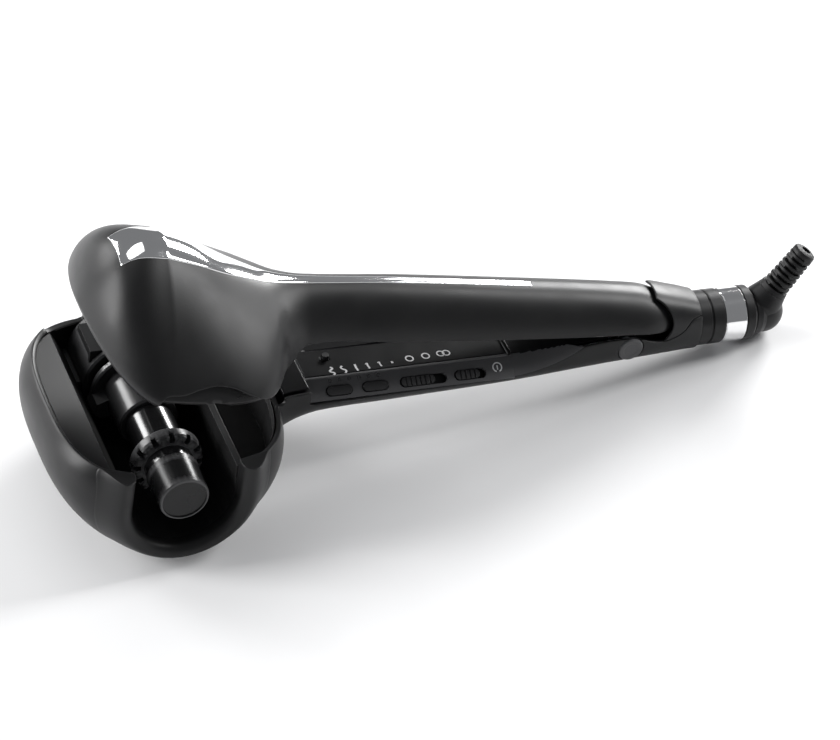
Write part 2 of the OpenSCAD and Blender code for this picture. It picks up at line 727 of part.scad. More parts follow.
module hinge_yoke() {
    color("#8d8f93") in_arm() difference() {
        union() {
            for (s = [-1, 1]) {
                y0 = s > 0 ? yoke_y[0] : -yoke_y[1];
                y1 = s > 0 ? yoke_y[1] : -yoke_y[0];
                rod_y(0, 0, y0, y1, 4.2);
                block([-7, y0, -5.7], [3, y1, -1]);
            }
            block([-31, -yoke_y[0] - 0.2, -5.7], [3, yoke_y[0] + 0.2, -4.5]);
        }
        rod_y(0, 0, -20, 20, pin_r);
        for (x = screw_x) translate([x, 0, -12]) cylinder(r = 1.3, h = 10, $fn = 32);
    }
}

module hinge_pin() {
    color("#c4c6ca") in_arm() rod_y(0, 0, -yoke_y[1] - 0.4, yoke_y[1] + 0.4, pin_r);
}

module hinge_caps() {
    r = 5;
    color("#202022") in_arm() for (s = [0, 1]) mirror([0, s, 0])
        translate([0, -arm_half + 1.7, 0]) rotate([-90, 0, 0]) rotate_extrude($fn = fine)
            polygon([[0, 0.15], [r - 2.2, 0.15], [r - 1.8, 0], [r - 0.5, 0], [r, 0.4], [r, 1.8], [0, 1.8]]);
}

// Lever of the upper arm that turns on the pin
module jaw_lever() {
    w = 4.2;
    color("#8d8f93") in_upper() difference() {
        union() {
            rod_y(0, 0, -w, w, 4.2);
            block([-4, -w, 0], [4, w, 12]);
            block([-30, -w, 10.7], [4, w, 12]);
        }
        rod_y(0, 0, -20, 20, pin_r + run_gap);
        for (x = screw_x) translate([x, 0, 0]) cylinder(r = 1.3, h = 20, $fn = 32);
    }
}

// Torsion spring round the pin: wire turns on each side of the lever, one with a leg along the arm
module jaw_spring() {
    wire = 0.42;
    color("#b8bac0") in_arm() for (s = [-1, 1]) {
        for (k = [0 : 1])
            translate([0, s * (5 + 2.1 * wire * k), 0]) rotate([-90, 0, 0])
                rotate_extrude($fn = 32) translate([pin_r + 0.75, 0]) circle(r = wire, $fn = 12);
        translate([0, s * 5, -pin_r - 0.75]) rotate([0, -90, 0]) cylinder(r = wire, h = 12, $fn = 13);
    }
}

plunger_at = [-119.5, 2];
plunger_r = 1.3;

module start_switch() {
    color("#17181a") in_arm() difference() {
        block([-126, -1, -9.5], [-113, 5, -2.6]);
        translate([plunger_at[0], plunger_at[1], -8]) cylinder(r = plunger_r + run_gap, h = 9, $fn = 32);
    }
}

// Spring-loaded plunger that the closing upper arm pushes
module start_plunger() {
    color("#2b2b2e") in_arm() translate([plunger_at[0], plunger_at[1], -6.6]) cylinder(r = plunger_r, h = 8.6, $fn = 32);
}

module power_board() {
    color("#1b4431") in_arm() {
        block([-44, -8, -7.8], [-34.5, 8, -6.4]);
        translate([-39.5, -3.5, -6.4]) cylinder(r = 3, h = 6.5, $fn = 32);
        block([-37.4, 1, -6.4], [-35, 7, -2.4]);
    }
}

// Oval that hollows the cover's front rim at the sides
module cover_rim() {
    translate([5, 0, 8.3]) scale([1.25, 1, 1]) rotate([90, 0, 0]) cylinder(r = 10, h = 60, center = true, $fn = 72);
}

// Top half of the tail behind the upper arm
module rear_cover() {
    color("#1e1e20") in_arm() resize([0, 0, 0]) difference() {
        intersection() {
            arm_form(0);
            beyond_edge(lower_edge, 0.25, 60);
            block([8, -40, -5], [60, 40, 60]);
        }
        arm_form(wall, 0, 31.5);
        tail_sweep();
        cover_rim();
        block([30.9, -20, -20], [40, 20, 20]);
    }
}

module tail_band() {
    r = ring_r;
    color("#161618") in_arm() difference() {
        turned_x([[7, 29], [8.5, 29], [8.5, 31.1], [r - 0.1, 31.1], [r, 31.6], [r, 35.6], [r - 0.5, 35.9],
            [r - 0.5, 36.5], [r, 36.8], [r, 41.4], [r - 0.3, 41.8], [7, 41.8]]);
        translate([35, 0, -20]) cylinder(r = 1.1, h = 14, $fn = 32);
    }
}

module chrome_ring() {
    r = ring_r + 0.1;
    color("#e8e8ea") in_arm()
        turned_x([[7.4, 41.9], [r - 0.4, 41.9], [r, 42.3], [r, 50.5], [r - 0.4, 50.9], [7.4, 50.9]]);
}

spigot_r = 5.2;

module rear_ring() {
    r = ring_r;
    color("#19191b") in_arm()
        turned_x([[spigot_r + run_gap, 51], [r - 0.2, 51], [r, 51.3], [r, ring_end], [r - 0.9, 55.4],
            [spigot_r + run_gap, 55.4]]);
}

module slip_contacts() {
    color("#b87333") in_arm()
        for (x = [45.5, 48]) turned_x([[5.6, x], [7.3, x], [7.3, x + 1.2], [5.6, x + 1.2]]);
}

elbow_x = 59;
elbow_bulge = 2.7;

// Swivel elbow: a spigot held behind the rear ring, turning into the cord outlet
module swivel_elbow() {
    color("#1c1c1e") in_arm() difference() {
        union() {
            turned_x([[0, 43.5], [5.3, 43.5], [5.3, 44.9], [spigot_r, 45], [spigot_r, 55.6], [8.6, 55.6],
                [9.2, 56.2], [9.2, 58.4], [8.2, 61], [0, 61]]);
            difference() {
                union() {
                    translate([elbow_x + elbow_bulge, 0, 0]) sphere(r = 8.6, $fn = fine);
                    translate([elbow_x, 0, 0]) rotate([0, 90 - outlet_angle, 0])
                        rotate_extrude($fn = fine) polygon([[0, 0], [8, 0], [7.7, 6], [6.1, 11], [0, 11]]);
                }
                block([40, -10, -10], [56, 10, 10]);
            }
        }
        translate([elbow_x, 0, 0]) rotate([0, 90 - outlet_angle, 0])
            translate([0, 0, 8]) cylinder(r = 3.2, h = 8, $fn = fine);
        turned_x([[0, 40], [3, 40], [3, 58], [0, 58]]);
    }
}

// Ribbed strain relief: short rings on a core, slotted on alternate sides
module strain_relief() {
    pitch = 2.3;
    y0 = 11.1;
    core = 3.1;
    color("#202022") in_arm() translate([elbow_x, 0, 0]) rotate([0, 90 - outlet_angle, 0]) {
        translate([0, 0, 8.2]) cylinder(r = core, h = relief_slots * pitch + 6.6, $fn = fine);
        rotate_extrude($fn = fine) polygon([[core - 0.1, y0], [6, y0], [5.6, y0 + 2], [core - 0.1, y0 + 2]]);
        for (i = [0 : relief_slots - 1]) difference() {
            r = 5.3 - 0.08 * i;
            z = y0 + 3 + i * pitch;
            rotate_extrude($fn = fine)
                polygon([[core - 0.1, z], [r - 0.25, z], [r, z + 0.25], [r, z + 1.1], [r - 0.25, z + 1.35],
                    [core - 0.1, z + 1.35]]);
        }
        for (i = [0 : relief_slots]) rotate([0, 0, 90 * (i % 2)]) for (s = [-1, 1])
            translate([s * 3.4 - 1.3, -1.3, y0 + 1.6 + i * pitch]) cube([2.6, 2.6, 1.6]);
        translate([0, 0, y0 + 3 + relief_slots * pitch]) rotate_extrude($fn = fine)
            polygon([[2, -0.6], [4.7, -0.6], [4.7, 0.6], [4.3, 1.5], [3.4, 1.9], [2, 2]]);
    }
}

module lower_screws() {
    color("#b9bbc0") in_arm() {
        for (x = screw_x) translate([x, 0, -7.4]) {
            cylinder(r = 1.25, h = 3, $fn = 32);
            translate([0, 0, 2.92]) cylinder(r = 2.4, h = 1.1, $fn = 32);
        }
        translate([35, 0, -10.2]) cylinder(r = 1, h = 2.6, $fn = 32);
    }
}

// ---------- upper arm ----------

module upper_shell() {
    color("#1b1b1d") in_upper() resize([0, 0, 0]) difference() {
        upper_form(0);
        upper_form(wall);
        beyond_edge(upper_edge, 0, -60);
        hood_notch();
        trim_seat(0.05);
    }
}

// Skirt inside the dome and closing plate of the handle
module upper_liner() {
    color("#333336") in_upper() resize([0, 0, 0]) difference() {
        intersection() {
            upper_form(wall + fit_gap);
            beyond_edge(skirt_edge, 0, 60);
            block([-202.5, -60, -30], [14, 60, 60]);
        }
        difference() {
            upper_form(wall + fit_gap + 1.8);
            intersection() {
                block([-142, -60, -10], [13, 60, 9.6]);
                difference() {
                    beyond_edge(skirt_edge, -1, 60);
                    beyond_edge(skirt_edge, 1.8, 60);
                }
            }
        }
        block([-8, -9.5, -20], [10, 9.5, 20]);
        hood_notch();
    }
}

// Room for the hood of the drive at the far side of the closed jaw
module hood_notch() {
    rod_y(barrel_x, barrel_z - 4, 15, 60, hood_r + 1.2);
}

// Heat-proof arch that closes the curl chamber from above
plate_half = 33;

module chamber_plate() {
    color("#3e3e41") in_upper() difference() {
        union() {
            rod_y(barrel_x, barrel_z, -plate_half, plate_half, chamber_r + 2);
            block([barrel_x - 10, -plate_half, 4], [barrel_x + 12, plate_half, 6.2]);
        }
        rod_y(barrel_x, barrel_z, -far, far, chamber_r + 0.4);
        block([barrel_x - 40, -far, -80], [barrel_x + 40, far, -1.5]);
    }
}

// Bright plate along the crest: wide on the dome, a strip along the handle
trim_keys = [[-217, 8.2], [-205, 9], [-192, 8.6], [-181, 7.6], [-170, 5.8], [-158, 3.9], [-146, 2.6], [-134, 2],
    [-90, 1.7], [-45, 1.5]];

function crest_z(x, y) =
    let (a = upper_at(x, 0))
    a[1] + a[2] * gable(min(1, abs(y) / a[0]), a[4]);

module trim_form(low, high, grow) {
    stations = concat(even(-217 - grow, -140, 22), even(-140, -45 + grow, 8), [-45 + grow]);
    skin([for (x = stations)
        let (h = smooth(trim_keys, max(-217, min(-45, x)), 1) + grow)
        concat(
            [for (i = [0 : 6]) let (y = h * (1 - i / 3)) [x, y, crest_z(x, y) + high]],
            [for (i = [0 : 6]) let (y = h * (i / 3 - 1)) [x, y, crest_z(x, y) + low]])]);
}

module trim_seat(grow) {
    trim_form(-0.5, 3, grow);
}

module chrome_trim() {
    color("#f0f0f2") in_upper() trim_form(-0.45, 0.35, 0);
}

// Rubber bumper under the handle
module grip_bumper() {
    color("#8f8f92") in_upper() translate([-112, 6, 0.7]) {
        cylinder(r = 2.6, h = 1.2, $fn = 32);
        translate([0, 0, 0.8]) cylinder(r = 3.4, h = 1.15, $fn = 32);
    }
}

module upper_screws() {
    color("#b9bbc0") in_upper() for (x = screw_x) translate([x, 0, 9.5]) {
        cylinder(r = 2.4, h = 1.15, $fn = 32);
        translate([0, 0, 1.1]) cylinder(r = 1.25, h = 3, $fn = 32);
    }
}

lower_shell();
chamber_liner();
mouth_bezel();
inner_cover();
control_panel();
led_light_pipes();
control_board();
key_switches();
slide_switches();
barrel_tube();
barrel_end_cap();
barrel_guide_ring();
barrel_heater();
barrel_mount();
thermal_cutout();
gear_housing();
gear_motor();
motor_bracket();
hinge_yoke();
hinge_pin();
hinge_caps();
jaw_spring();
start_switch();
power_board();
rear_cover();
tail_band();
chrome_ring();
rear_ring();
slip_contacts();
lower_screws();
upper_shell();
upper_liner();
chamber_plate();
chrome_trim();
grip_bumper();
jaw_lever();
upper_screws();
winding_rotor();
rotor_gear();
idler_gear();
motor_pinion();
push_key_front();
push_key_rear();
slide_knob_long();
slide_knob_short();
start_plunger();
swivel_elbow();
strain_relief();
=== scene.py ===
# Looks of the automatic hair curler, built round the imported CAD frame.
# Shapes are given in millimetres in the frame of the arm that carries them,
# and placed in the shared frame in metres.
import json
import math

import bmesh
import bpy
import numpy as np
from mathutils import Matrix, Vector


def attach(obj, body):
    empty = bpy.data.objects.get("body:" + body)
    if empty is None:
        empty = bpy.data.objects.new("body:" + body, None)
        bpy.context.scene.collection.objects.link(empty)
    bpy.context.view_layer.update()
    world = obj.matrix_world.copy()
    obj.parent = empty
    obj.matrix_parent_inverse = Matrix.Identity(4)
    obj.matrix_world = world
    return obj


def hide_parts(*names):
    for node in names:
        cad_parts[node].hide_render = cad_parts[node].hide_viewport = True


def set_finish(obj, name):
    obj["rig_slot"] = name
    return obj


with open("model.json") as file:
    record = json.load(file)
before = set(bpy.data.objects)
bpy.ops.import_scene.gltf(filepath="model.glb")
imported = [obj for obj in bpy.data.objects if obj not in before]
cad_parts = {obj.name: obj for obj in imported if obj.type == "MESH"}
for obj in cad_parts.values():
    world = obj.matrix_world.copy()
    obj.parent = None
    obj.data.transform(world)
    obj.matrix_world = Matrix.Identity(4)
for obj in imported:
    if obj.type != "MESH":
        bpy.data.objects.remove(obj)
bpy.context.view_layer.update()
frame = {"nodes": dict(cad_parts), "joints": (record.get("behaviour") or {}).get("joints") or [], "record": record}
scene = bpy.context.scene

# ---------- frames ----------
# Lean of the lower arm on the table, and the angle between the arms at rest
LEAN = math.radians(8.6)
OPEN = math.radians(9.5)
HINGE = next(np.array(j["pos_m"]) for j in frame["joints"] if j["name"] == "jaw_hinge")


def turn_y(angle):
    c, s = math.cos(angle), math.sin(angle)
    return np.array([[c, 0, s], [0, 1, 0], [-s, 0, c]])


ARM = turn_y(LEAN)
UPPER = turn_y(LEAN + OPEN)
TURN_OF = {"lower_arm": ARM, "upper_arm": UPPER}


def place(points, turn):
    """Millimetre points of an arm's own frame, as metres in the shared frame."""
    return np.asarray(points, float) @ turn.T / 1000 + HINGE


# ---------- camera ----------
# Directions and shift in the lower arm's frame, lengths in millimetres
VIEW_RIGHT = np.array([0.927, 0.114, -0.358])
VIEW_UP = np.array([-0.345, 0.634, -0.692])
VIEW_SHIFT = np.array([75.8, 16.52, 0.0])
# Distance of the camera, width seen at that distance, and width of its sensor
VIEW_DISTANCE, VIEW_WIDTH, SENSOR = 1500.0, 323.0769, 36.0


def add_camera():
    x = VIEW_RIGHT / np.linalg.norm(VIEW_RIGHT)
    y = VIEW_UP - x * (x @ VIEW_UP)
    y /= np.linalg.norm(y)
    axes = np.stack([x, y, np.cross(x, y)], 1)
    eye = axes.T @ (np.array([0, 0, VIEW_DISTANCE]) - VIEW_SHIFT)
    turn = ARM @ axes.T
    camera = bpy.data.objects.new("camera", bpy.data.cameras.new("camera"))
    scene.collection.objects.link(camera)
    m = Matrix(turn.tolist()).to_4x4()
    m.translation = Vector(ARM @ eye / 1000 + HINGE)
    camera.matrix_world = m
    camera.data.sensor_width = SENSOR
    camera.data.lens = VIEW_DISTANCE * SENSOR / VIEW_WIDTH
    camera.data.clip_start = 0.1
    camera.data.clip_end = 30
    scene.camera = camera


add_camera()

# ---------- the housings' forms, as in the CAD ----------
WALL, GAP = 2.2, 0.3
HEAD_HALF, BOWL_DEPTH = 50.0, 48.0
BARREL = np.array([-188.0, 0.0, -17.0])
CHAMBER_R = 20.0
# Rows of x, half width, crest, widest level, floor and power of the upper arm
UPPER_KEYS = np.array([
    [-200, 46.5, 36, -3.5, -11, 1.24], [-186, 47, 31.6, -3.5, -12, 1.24], [-173, 46.3, 26, -3.5, -13, 1.24],
    [-162, 42.5, 22.2, -3.5, -13, 1.27], [-155, 36, 20.2, -3, -13, 1.32], [-148, 25, 19.4, -2, -11, 1.4],
    [-138, 17.2, 19.2, 0, -8, 1.5], [-100, 15.6, 20, 2, -6, 1.6], [-50, 14.9, 19.8, 4, -5, 1.65],
    [0, 13.8, 19, 6, -4, 1.7], [22, 12.8, 16.5, 8.3, -1.6, 1.8]])
# Stretches of x over which the upper arm closes towards its nose and its tail
NOSE = (-225.5, -200.0)
TAIL = (3.0, 22.0)
NOSE_LEVEL, NOSE_POWER, FLOOR_POWER, RIDGE_SOFT = 7.3, 2.0, 2.4, 0.1
# Rows of x, half width, top, widest level and bottom of the lower arm
LOWER_KEYS = np.array([
    [-170, 27, 12, -4, -34], [-155, 21.5, 11, -4, -29.5], [-141, 17.6, 10, -4, -23],
    [-134, 16.9, 10, -4, -18], [-125, 16.4, 10, -4, -15.1], [-95, 16, 10, -4, -13.8],
    [-50, 15.3, 10, -4, -12], [-10, 14.3, 14, -1, -10.3], [8, 13.6, 18.4, 0, -9.9],
    [22, 12.2, 15, 0, -10.1], [32, 10.9, 11.4, 0, -10.7]])
LOWER_POWER = 2.35
# Edges as rows of x and z: the upper arm's, its skirt's and the lower arm's
UPPER_EDGE = np.array([
    [-230, -14], [-207, -13], [-205, -5], [-203, -1], [-196, 0], [-190, 1.8], [-183, 2.8], [-176, 1.8],
    [-170, -0.4], [-163, -2.8], [-156, -4.6], [-150, -5], [-145, -3.4], [-139, 1.5], [-99, 2.7], [-58, 4.2],
    [-16, 6], [0, 7], [30, 7.4]])
SKIRT_EDGE = np.array([
    [-206, -11], [-200, -12.5], [-196, -11.6], [-192, -9], [-188, -5.5], [-183, -3.8], [-178, -4.8],
    [-173, -6.4], [-169, -7.2], [-165, -10], [-161, -12.3], [-156, -12], [-151, -9.2], [-147, -4.4],
    [-143, -0.2], [-139, 2.1], [-99, 3.3], [-58, 4.8], [-16, 6.6], [0, 7.6], [30, 8]])
LOWER_EDGE = np.array([
    [-240, -2.5], [-150, -2.5], [-146, -1.4], [-141, 0], [-99, 0.6], [-58, 2], [-24, 4], [-8, 5.2],
    [2, 4.6], [11, 1.6], [16, 1.4], [22, 3.5], [27, 8], [60, 8]])
# Hole for the start plunger: x, y and radius
PLUNGER = (-119.5, 2.0, 1.6)
# Rows of x and half width of the bright plate on the crest
TRIM_KEYS = np.array([
    [-217, 8.2], [-205, 9], [-192, 8.6], [-181, 7.6], [-170, 5.8], [-158, 3.9], [-146, 2.6], [-134, 2],
    [-90, 1.7], [-45, 1.5]])


def smooth(keys, x, c):
    """Column c of the key rows at x, by cubic pieces that join smoothly."""
    x = np.asarray(x, float)
    k, v = keys[:, 0], keys[:, c]
    slopes = np.empty(len(k))
    slopes[0], slopes[-1] = (v[1] - v[0]) / (k[1] - k[0]), (v[-1] - v[-2]) / (k[-1] - k[-2])
    slopes[1:-1] = (v[2:] - v[:-2]) / (k[2:] - k[:-2])
    i = np.clip(np.searchsorted(k, x, side="left") - 1, 0, len(k) - 2)
    h = k[i + 1] - k[i]
    s = (x - k[i]) / h
    p, q = slopes[i] * h, slopes[i + 1] * h
    rise = v[i + 1] - v[i]
    return v[i] + s * (p + s * (3 * rise - 2 * p - q + s * (p + q - 2 * rise)))


def softened(q):
    """Share of the half width, counted from a softened ridge line."""
    full = math.sqrt(1 + RIDGE_SOFT ** 2) - RIDGE_SOFT
    return (np.sqrt(q * q + RIDGE_SOFT ** 2) - RIDGE_SOFT) / full


def gable(q, power):
    """Height of the ridged top at share q of the half width, 1 at the ridge."""
    return np.maximum(0, 1 - softened(q) ** power) ** (1 / power)


def closing(x, start, end, p, q):
    """Factor that closes a section from 1 at start to 0 at end."""
    return np.maximum(0, 1 - np.clip((start - x) / (start - end), 0, 1) ** p) ** (1 / q)


def upper_at(x, gap):
    """Half width, level, rise, drop and power of the upper arm's section at x."""
    x = np.asarray(x, float)
    tail = closing(-x, -TAIL[0], -TAIL[1] + gap, 2.2, 2.2)
    t = np.clip((NOSE[1] - x) / (NOSE[1] - NOSE[0] - gap), 0, 1)
    wide = closing(x, NOSE[1], NOSE[0] + gap, 2, 1.54) * tail
    high = closing(x, NOSE[1], NOSE[0] + gap, 2.7, 1.34) * tail
    xk = np.maximum(x, NOSE[1])
    w, top, m, low, n = (smooth(UPPER_KEYS, xk, k) for k in range(1, 6))
    return ((w - gap) * wide, m + (NOSE_LEVEL - m) * t * t, (top - m - gap) * high,
            (m - low - gap) * high, n + (NOSE_POWER - n) * t * t)


def crest_z(x, y):
    """Height of the upper arm's top at x, y."""
    w, m, u, _, n = upper_at(x, 0)
    return m + u * gable(np.minimum(1, np.abs(y) / w), n)


def inside_upper(x, y, z, gap):
    """Above 0 outside the upper arm's closed form, below 0 inside, in rough millimetres."""
    w, m, u, d, n = upper_at(np.clip(x, NOSE[0] + 0.05, TAIL[1] - 0.05), gap)
    q = np.abs(y) / np.maximum(w, 0.01)
    top = m + u * gable(np.minimum(q, 1), n)
    low = m - d * np.maximum(0, 1 - np.minimum(q, 1) ** FLOOR_POWER) ** (1 / FLOOR_POWER)
    return np.maximum.reduce([z - top, low - z, np.abs(y) - w, x - (TAIL[1] - gap)])


BOWL_MID, BOWL_FRONT, BOWL_REAR = -188.5, 43.8, 47.0
BOWL_LEVEL, BOWL_RIM, PLAN_POWER = -14.0, -2.5, 3.0


def bowl_at(z, gap):
    """Front reach, rear reach and half width of the bowl at height z."""
    depth = BOWL_DEPTH + BOWL_LEVEL
    t = np.clip((BOWL_LEVEL - z) / (depth - gap), 0, 1)
    lift = np.maximum(0, (z - BOWL_LEVEL) / (BOWL_RIM - BOWL_LEVEL))
    tuck = 4 * lift ** 2.3
    front = (BOWL_FRONT - gap) * np.maximum(0.0001, 1 - t * t) ** 0.5 - tuck
    rear = (BOWL_REAR - gap) * np.maximum(0.0001, 1 - t * t) ** 0.62 - 0.5 * tuck
    half = (HEAD_HALF - gap) * np.maximum(0.0001, 1 - t ** 5) ** 0.3 - 0.5 * tuck
    return front, rear, half


def inside_bowl(x, y, z, gap):
    """Above 0 outside the bowl, below 0 inside, in rough millimetres."""
    front, rear, half = bowl_at(z, gap)
    reach = np.where(x > BOWL_MID, rear, front)
    power_sum = (np.abs(x - BOWL_MID) / reach) ** PLAN_POWER + (np.abs(y) / half) ** PLAN_POWER
    r = power_sum ** (1 / PLAN_POWER)
    return np.maximum((r - 1) * 45, -BOWL_DEPTH + gap - z)


def even_arc(points, n):
    """n + 1 points evenly spaced along a polyline."""
    d = np.concatenate([[0], np.cumsum(np.linalg.norm(np.diff(points, axis=0), axis=1))])
    if d[-1] < 1e-9:
        return np.repeat(points[:1], n + 1, 0)
    s = np.linspace(0, d[-1], n + 1)
    return np.stack([np.interp(s, d, points[:, k]) for k in range(points.shape[1])], 1)


def ring_of(x, top, low):
    """Closed ring at x from its quarter above and its quarter below the widest level."""
    ring = np.concatenate([top[:-1], (top * [-1, 1])[::-1][:-1], (low * [-1, 1])[:-1], low[::-1][:-1]])
    return np.column_stack([np.full(len(ring), x), ring])


def upper_ring(x, gap, n_top, n_low):
    """Closed ring round the upper arm at x."""
    w, m, u, d, n = (float(v) for v in upper_at(x, gap))
    a = np.radians(np.linspace(0, 90, 160))
    q = np.cos(a) ** (2 / n)
    quarter = np.stack([w * q, m + u * gable(q, n)], 1)
    quarter[-1] = [0, m + u]
    q = np.cos(a) ** (2 / FLOOR_POWER)
    floor = np.stack([w * q, m - d * np.sin(a) ** (2 / FLOOR_POWER)], 1)
    floor[-1] = [0, m - d]
    return ring_of(x, even_arc(quarter, n_top), even_arc(floor, n_low))


def arm_ring(x, n):
    """Closed ring round the lower arm at x."""
    w, c, m, d = (float(smooth(LOWER_KEYS, x, k)) for k in (1, 2, 3, 4))
    a = np.radians(np.linspace(0, 90, 120))
    e = 2 / LOWER_POWER
    top = even_arc(np.stack([w * np.cos(a) ** e, m + (c - m) * np.sin(a) ** e], 1), n)
    low = even_arc(np.stack([w * np.cos(a) ** e, m - (m - d) * np.sin(a) ** e], 1), n)
    return ring_of(x, top, low)


# ---------- mesh helpers ----------
def loft(rings, close_ends=(False, False)):
    """bmesh of quads through closed rings."""
    rings = np.asarray(rings)
    m, n = rings.shape[:2]
    bm = bmesh.new()
    verts = [[bm.verts.new(p) for p in ring] for ring in rings.tolist()]
    for j in range(m - 1):
        for i in range(n):
            k = (i + 1) % n
            bm.faces.new((verts[j][i], verts[j][k], verts[j + 1][k], verts[j + 1][i]))
    if close_ends[0]:
        bm.faces.new(verts[0][::-1])
    if close_ends[1]:
        bm.faces.new(verts[-1])
    bm.verts.index_update()
    return bm


def sheet_of(grid):
    """bmesh of quads over an open grid of points."""
    grid = np.asarray(grid)
    m, n = grid.shape[:2]
    bm = bmesh.new()
    verts = [[bm.verts.new(p) for p in row] for row in grid.tolist()]
    for j in range(m - 1):
        for i in range(n - 1):
            bm.faces.new((verts[j][i], verts[j][i + 1], verts[j + 1][i + 1], verts[j + 1][i]))
    return bm


def clip(bm, keep, snap=0.3):
    """Cuts away the surface where keep is below 0. Points close to the cut first move onto it."""
    bm.verts.ensure_lookup_table()
    bm.verts.index_update()
    co = np.array([v.co for v in bm.verts])
    f = keep(co[:, 0], co[:, 1], co[:, 2])
    near = {}
    for e in bm.edges:
        a, b = e.verts[0].index, e.verts[1].index
        if f[a] * f[b] < 0:
            t = f[a] / (f[a] - f[b])
            for i, j, s in ((a, b, t), (b, a, 1 - t)):
                if s < snap and s < near.get(i, (1, 0))[0]:
                    near[i] = (s, j)
    for i, (s, j) in near.items():
        bm.verts[i].co = co[i] + s * (co[j] - co[i])
    for i in near:
        f[i] = 0
    side = bm.verts.layers.float.new("side")
    for v in bm.verts:
        v[side] = f[v.index]
    for e in [e for e in bm.edges if e.verts[0][side] * e.verts[1][side] < 0]:
        a, b = e.verts
        fa, fb = a[side], b[side]
        v = bmesh.utils.edge_split(e, a, fa / (fa - fb))[1]
        v[side] = 0
    for face in list(bm.faces):
        values = [v[side] for v in face.verts]
        if min(values) < 0 < max(values):
            zero = [v for v in face.verts if v[side] == 0]
            if len(zero) == 2:
                try:
                    bmesh.utils.face_split(face, zero[0], zero[1])
                except ValueError:
                    pass
    gone = []
    for face in bm.faces:
        values = [v[side] for v in face.verts]
        if sum(values) < 0 or max(values) <= 0:
            gone.append(face)
    bmesh.ops.delete(bm, geom=gone, context="FACES")
    bm.verts.layers.float.remove(side)
    return bm


def finish_piece(bm, name, body, slot, replaces=(), material=None, sharp=35):
    """Object from a bmesh in arm millimetres, placed, smooth shaded and riding on its body.

    Its material is that of its slot, unless another is given.
    """
    bmesh.ops.remove_doubles(bm, verts=bm.verts, dist=1e-4)
    bmesh.ops.delete(bm, geom=[v for v in bm.verts if not v.link_faces], context="VERTS")
    mesh = bpy.data.meshes.new(name)
    bm.to_mesh(mesh)
    bm.free()
    co = np.empty(len(mesh.vertices) * 3)
    mesh.vertices.foreach_get("co", co)
    mesh.vertices.foreach_set("co", place(co.reshape(-1, 3), TURN_OF[body]).ravel())
    mesh.update()
    obj = bpy.data.objects.new(name, mesh)
    scene.collection.objects.link(obj)
    mesh.materials.append(material or LOOK[slot])
    smooth_by_angle(obj, sharp)
    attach(obj, body)
    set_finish(obj, slot)
    if replaces:
        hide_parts(*replaces)
    return obj


def smooth_by_angle(obj, degrees):
    bpy.context.view_layer.objects.active = obj
    for o in bpy.context.selected_objects:
        o.select_set(False)
    obj.select_set(True)
    bpy.ops.object.shade_smooth_by_angle(angle=math.radians(degrees))


def thicken(obj, mm, rim=0.25, inwards=True):
    """Gives the surface a wall, inwards of it or outwards, with rounded rims."""
    wall = obj.modifiers.new("wall", "SOLIDIFY")
    wall.thickness = mm / 1000
    wall.offset = -1 if inwards else 1
    wall.use_even_offset = True
    wall.use_quality_normals = True
    if rim:
        edges = obj.modifiers.new("edges", "BEVEL")
        edges.width = rim / 1000
        edges.segments = 2
        edges.limit_method = "ANGLE"
        edges.angle_limit = math.radians(50)
        edges.use_clamp_overlap = False
        edges.harden_normals = False


# ---------- materials ----------
COAT_ROUGH = 0.12
BUMP_DEPTH = 0.00005


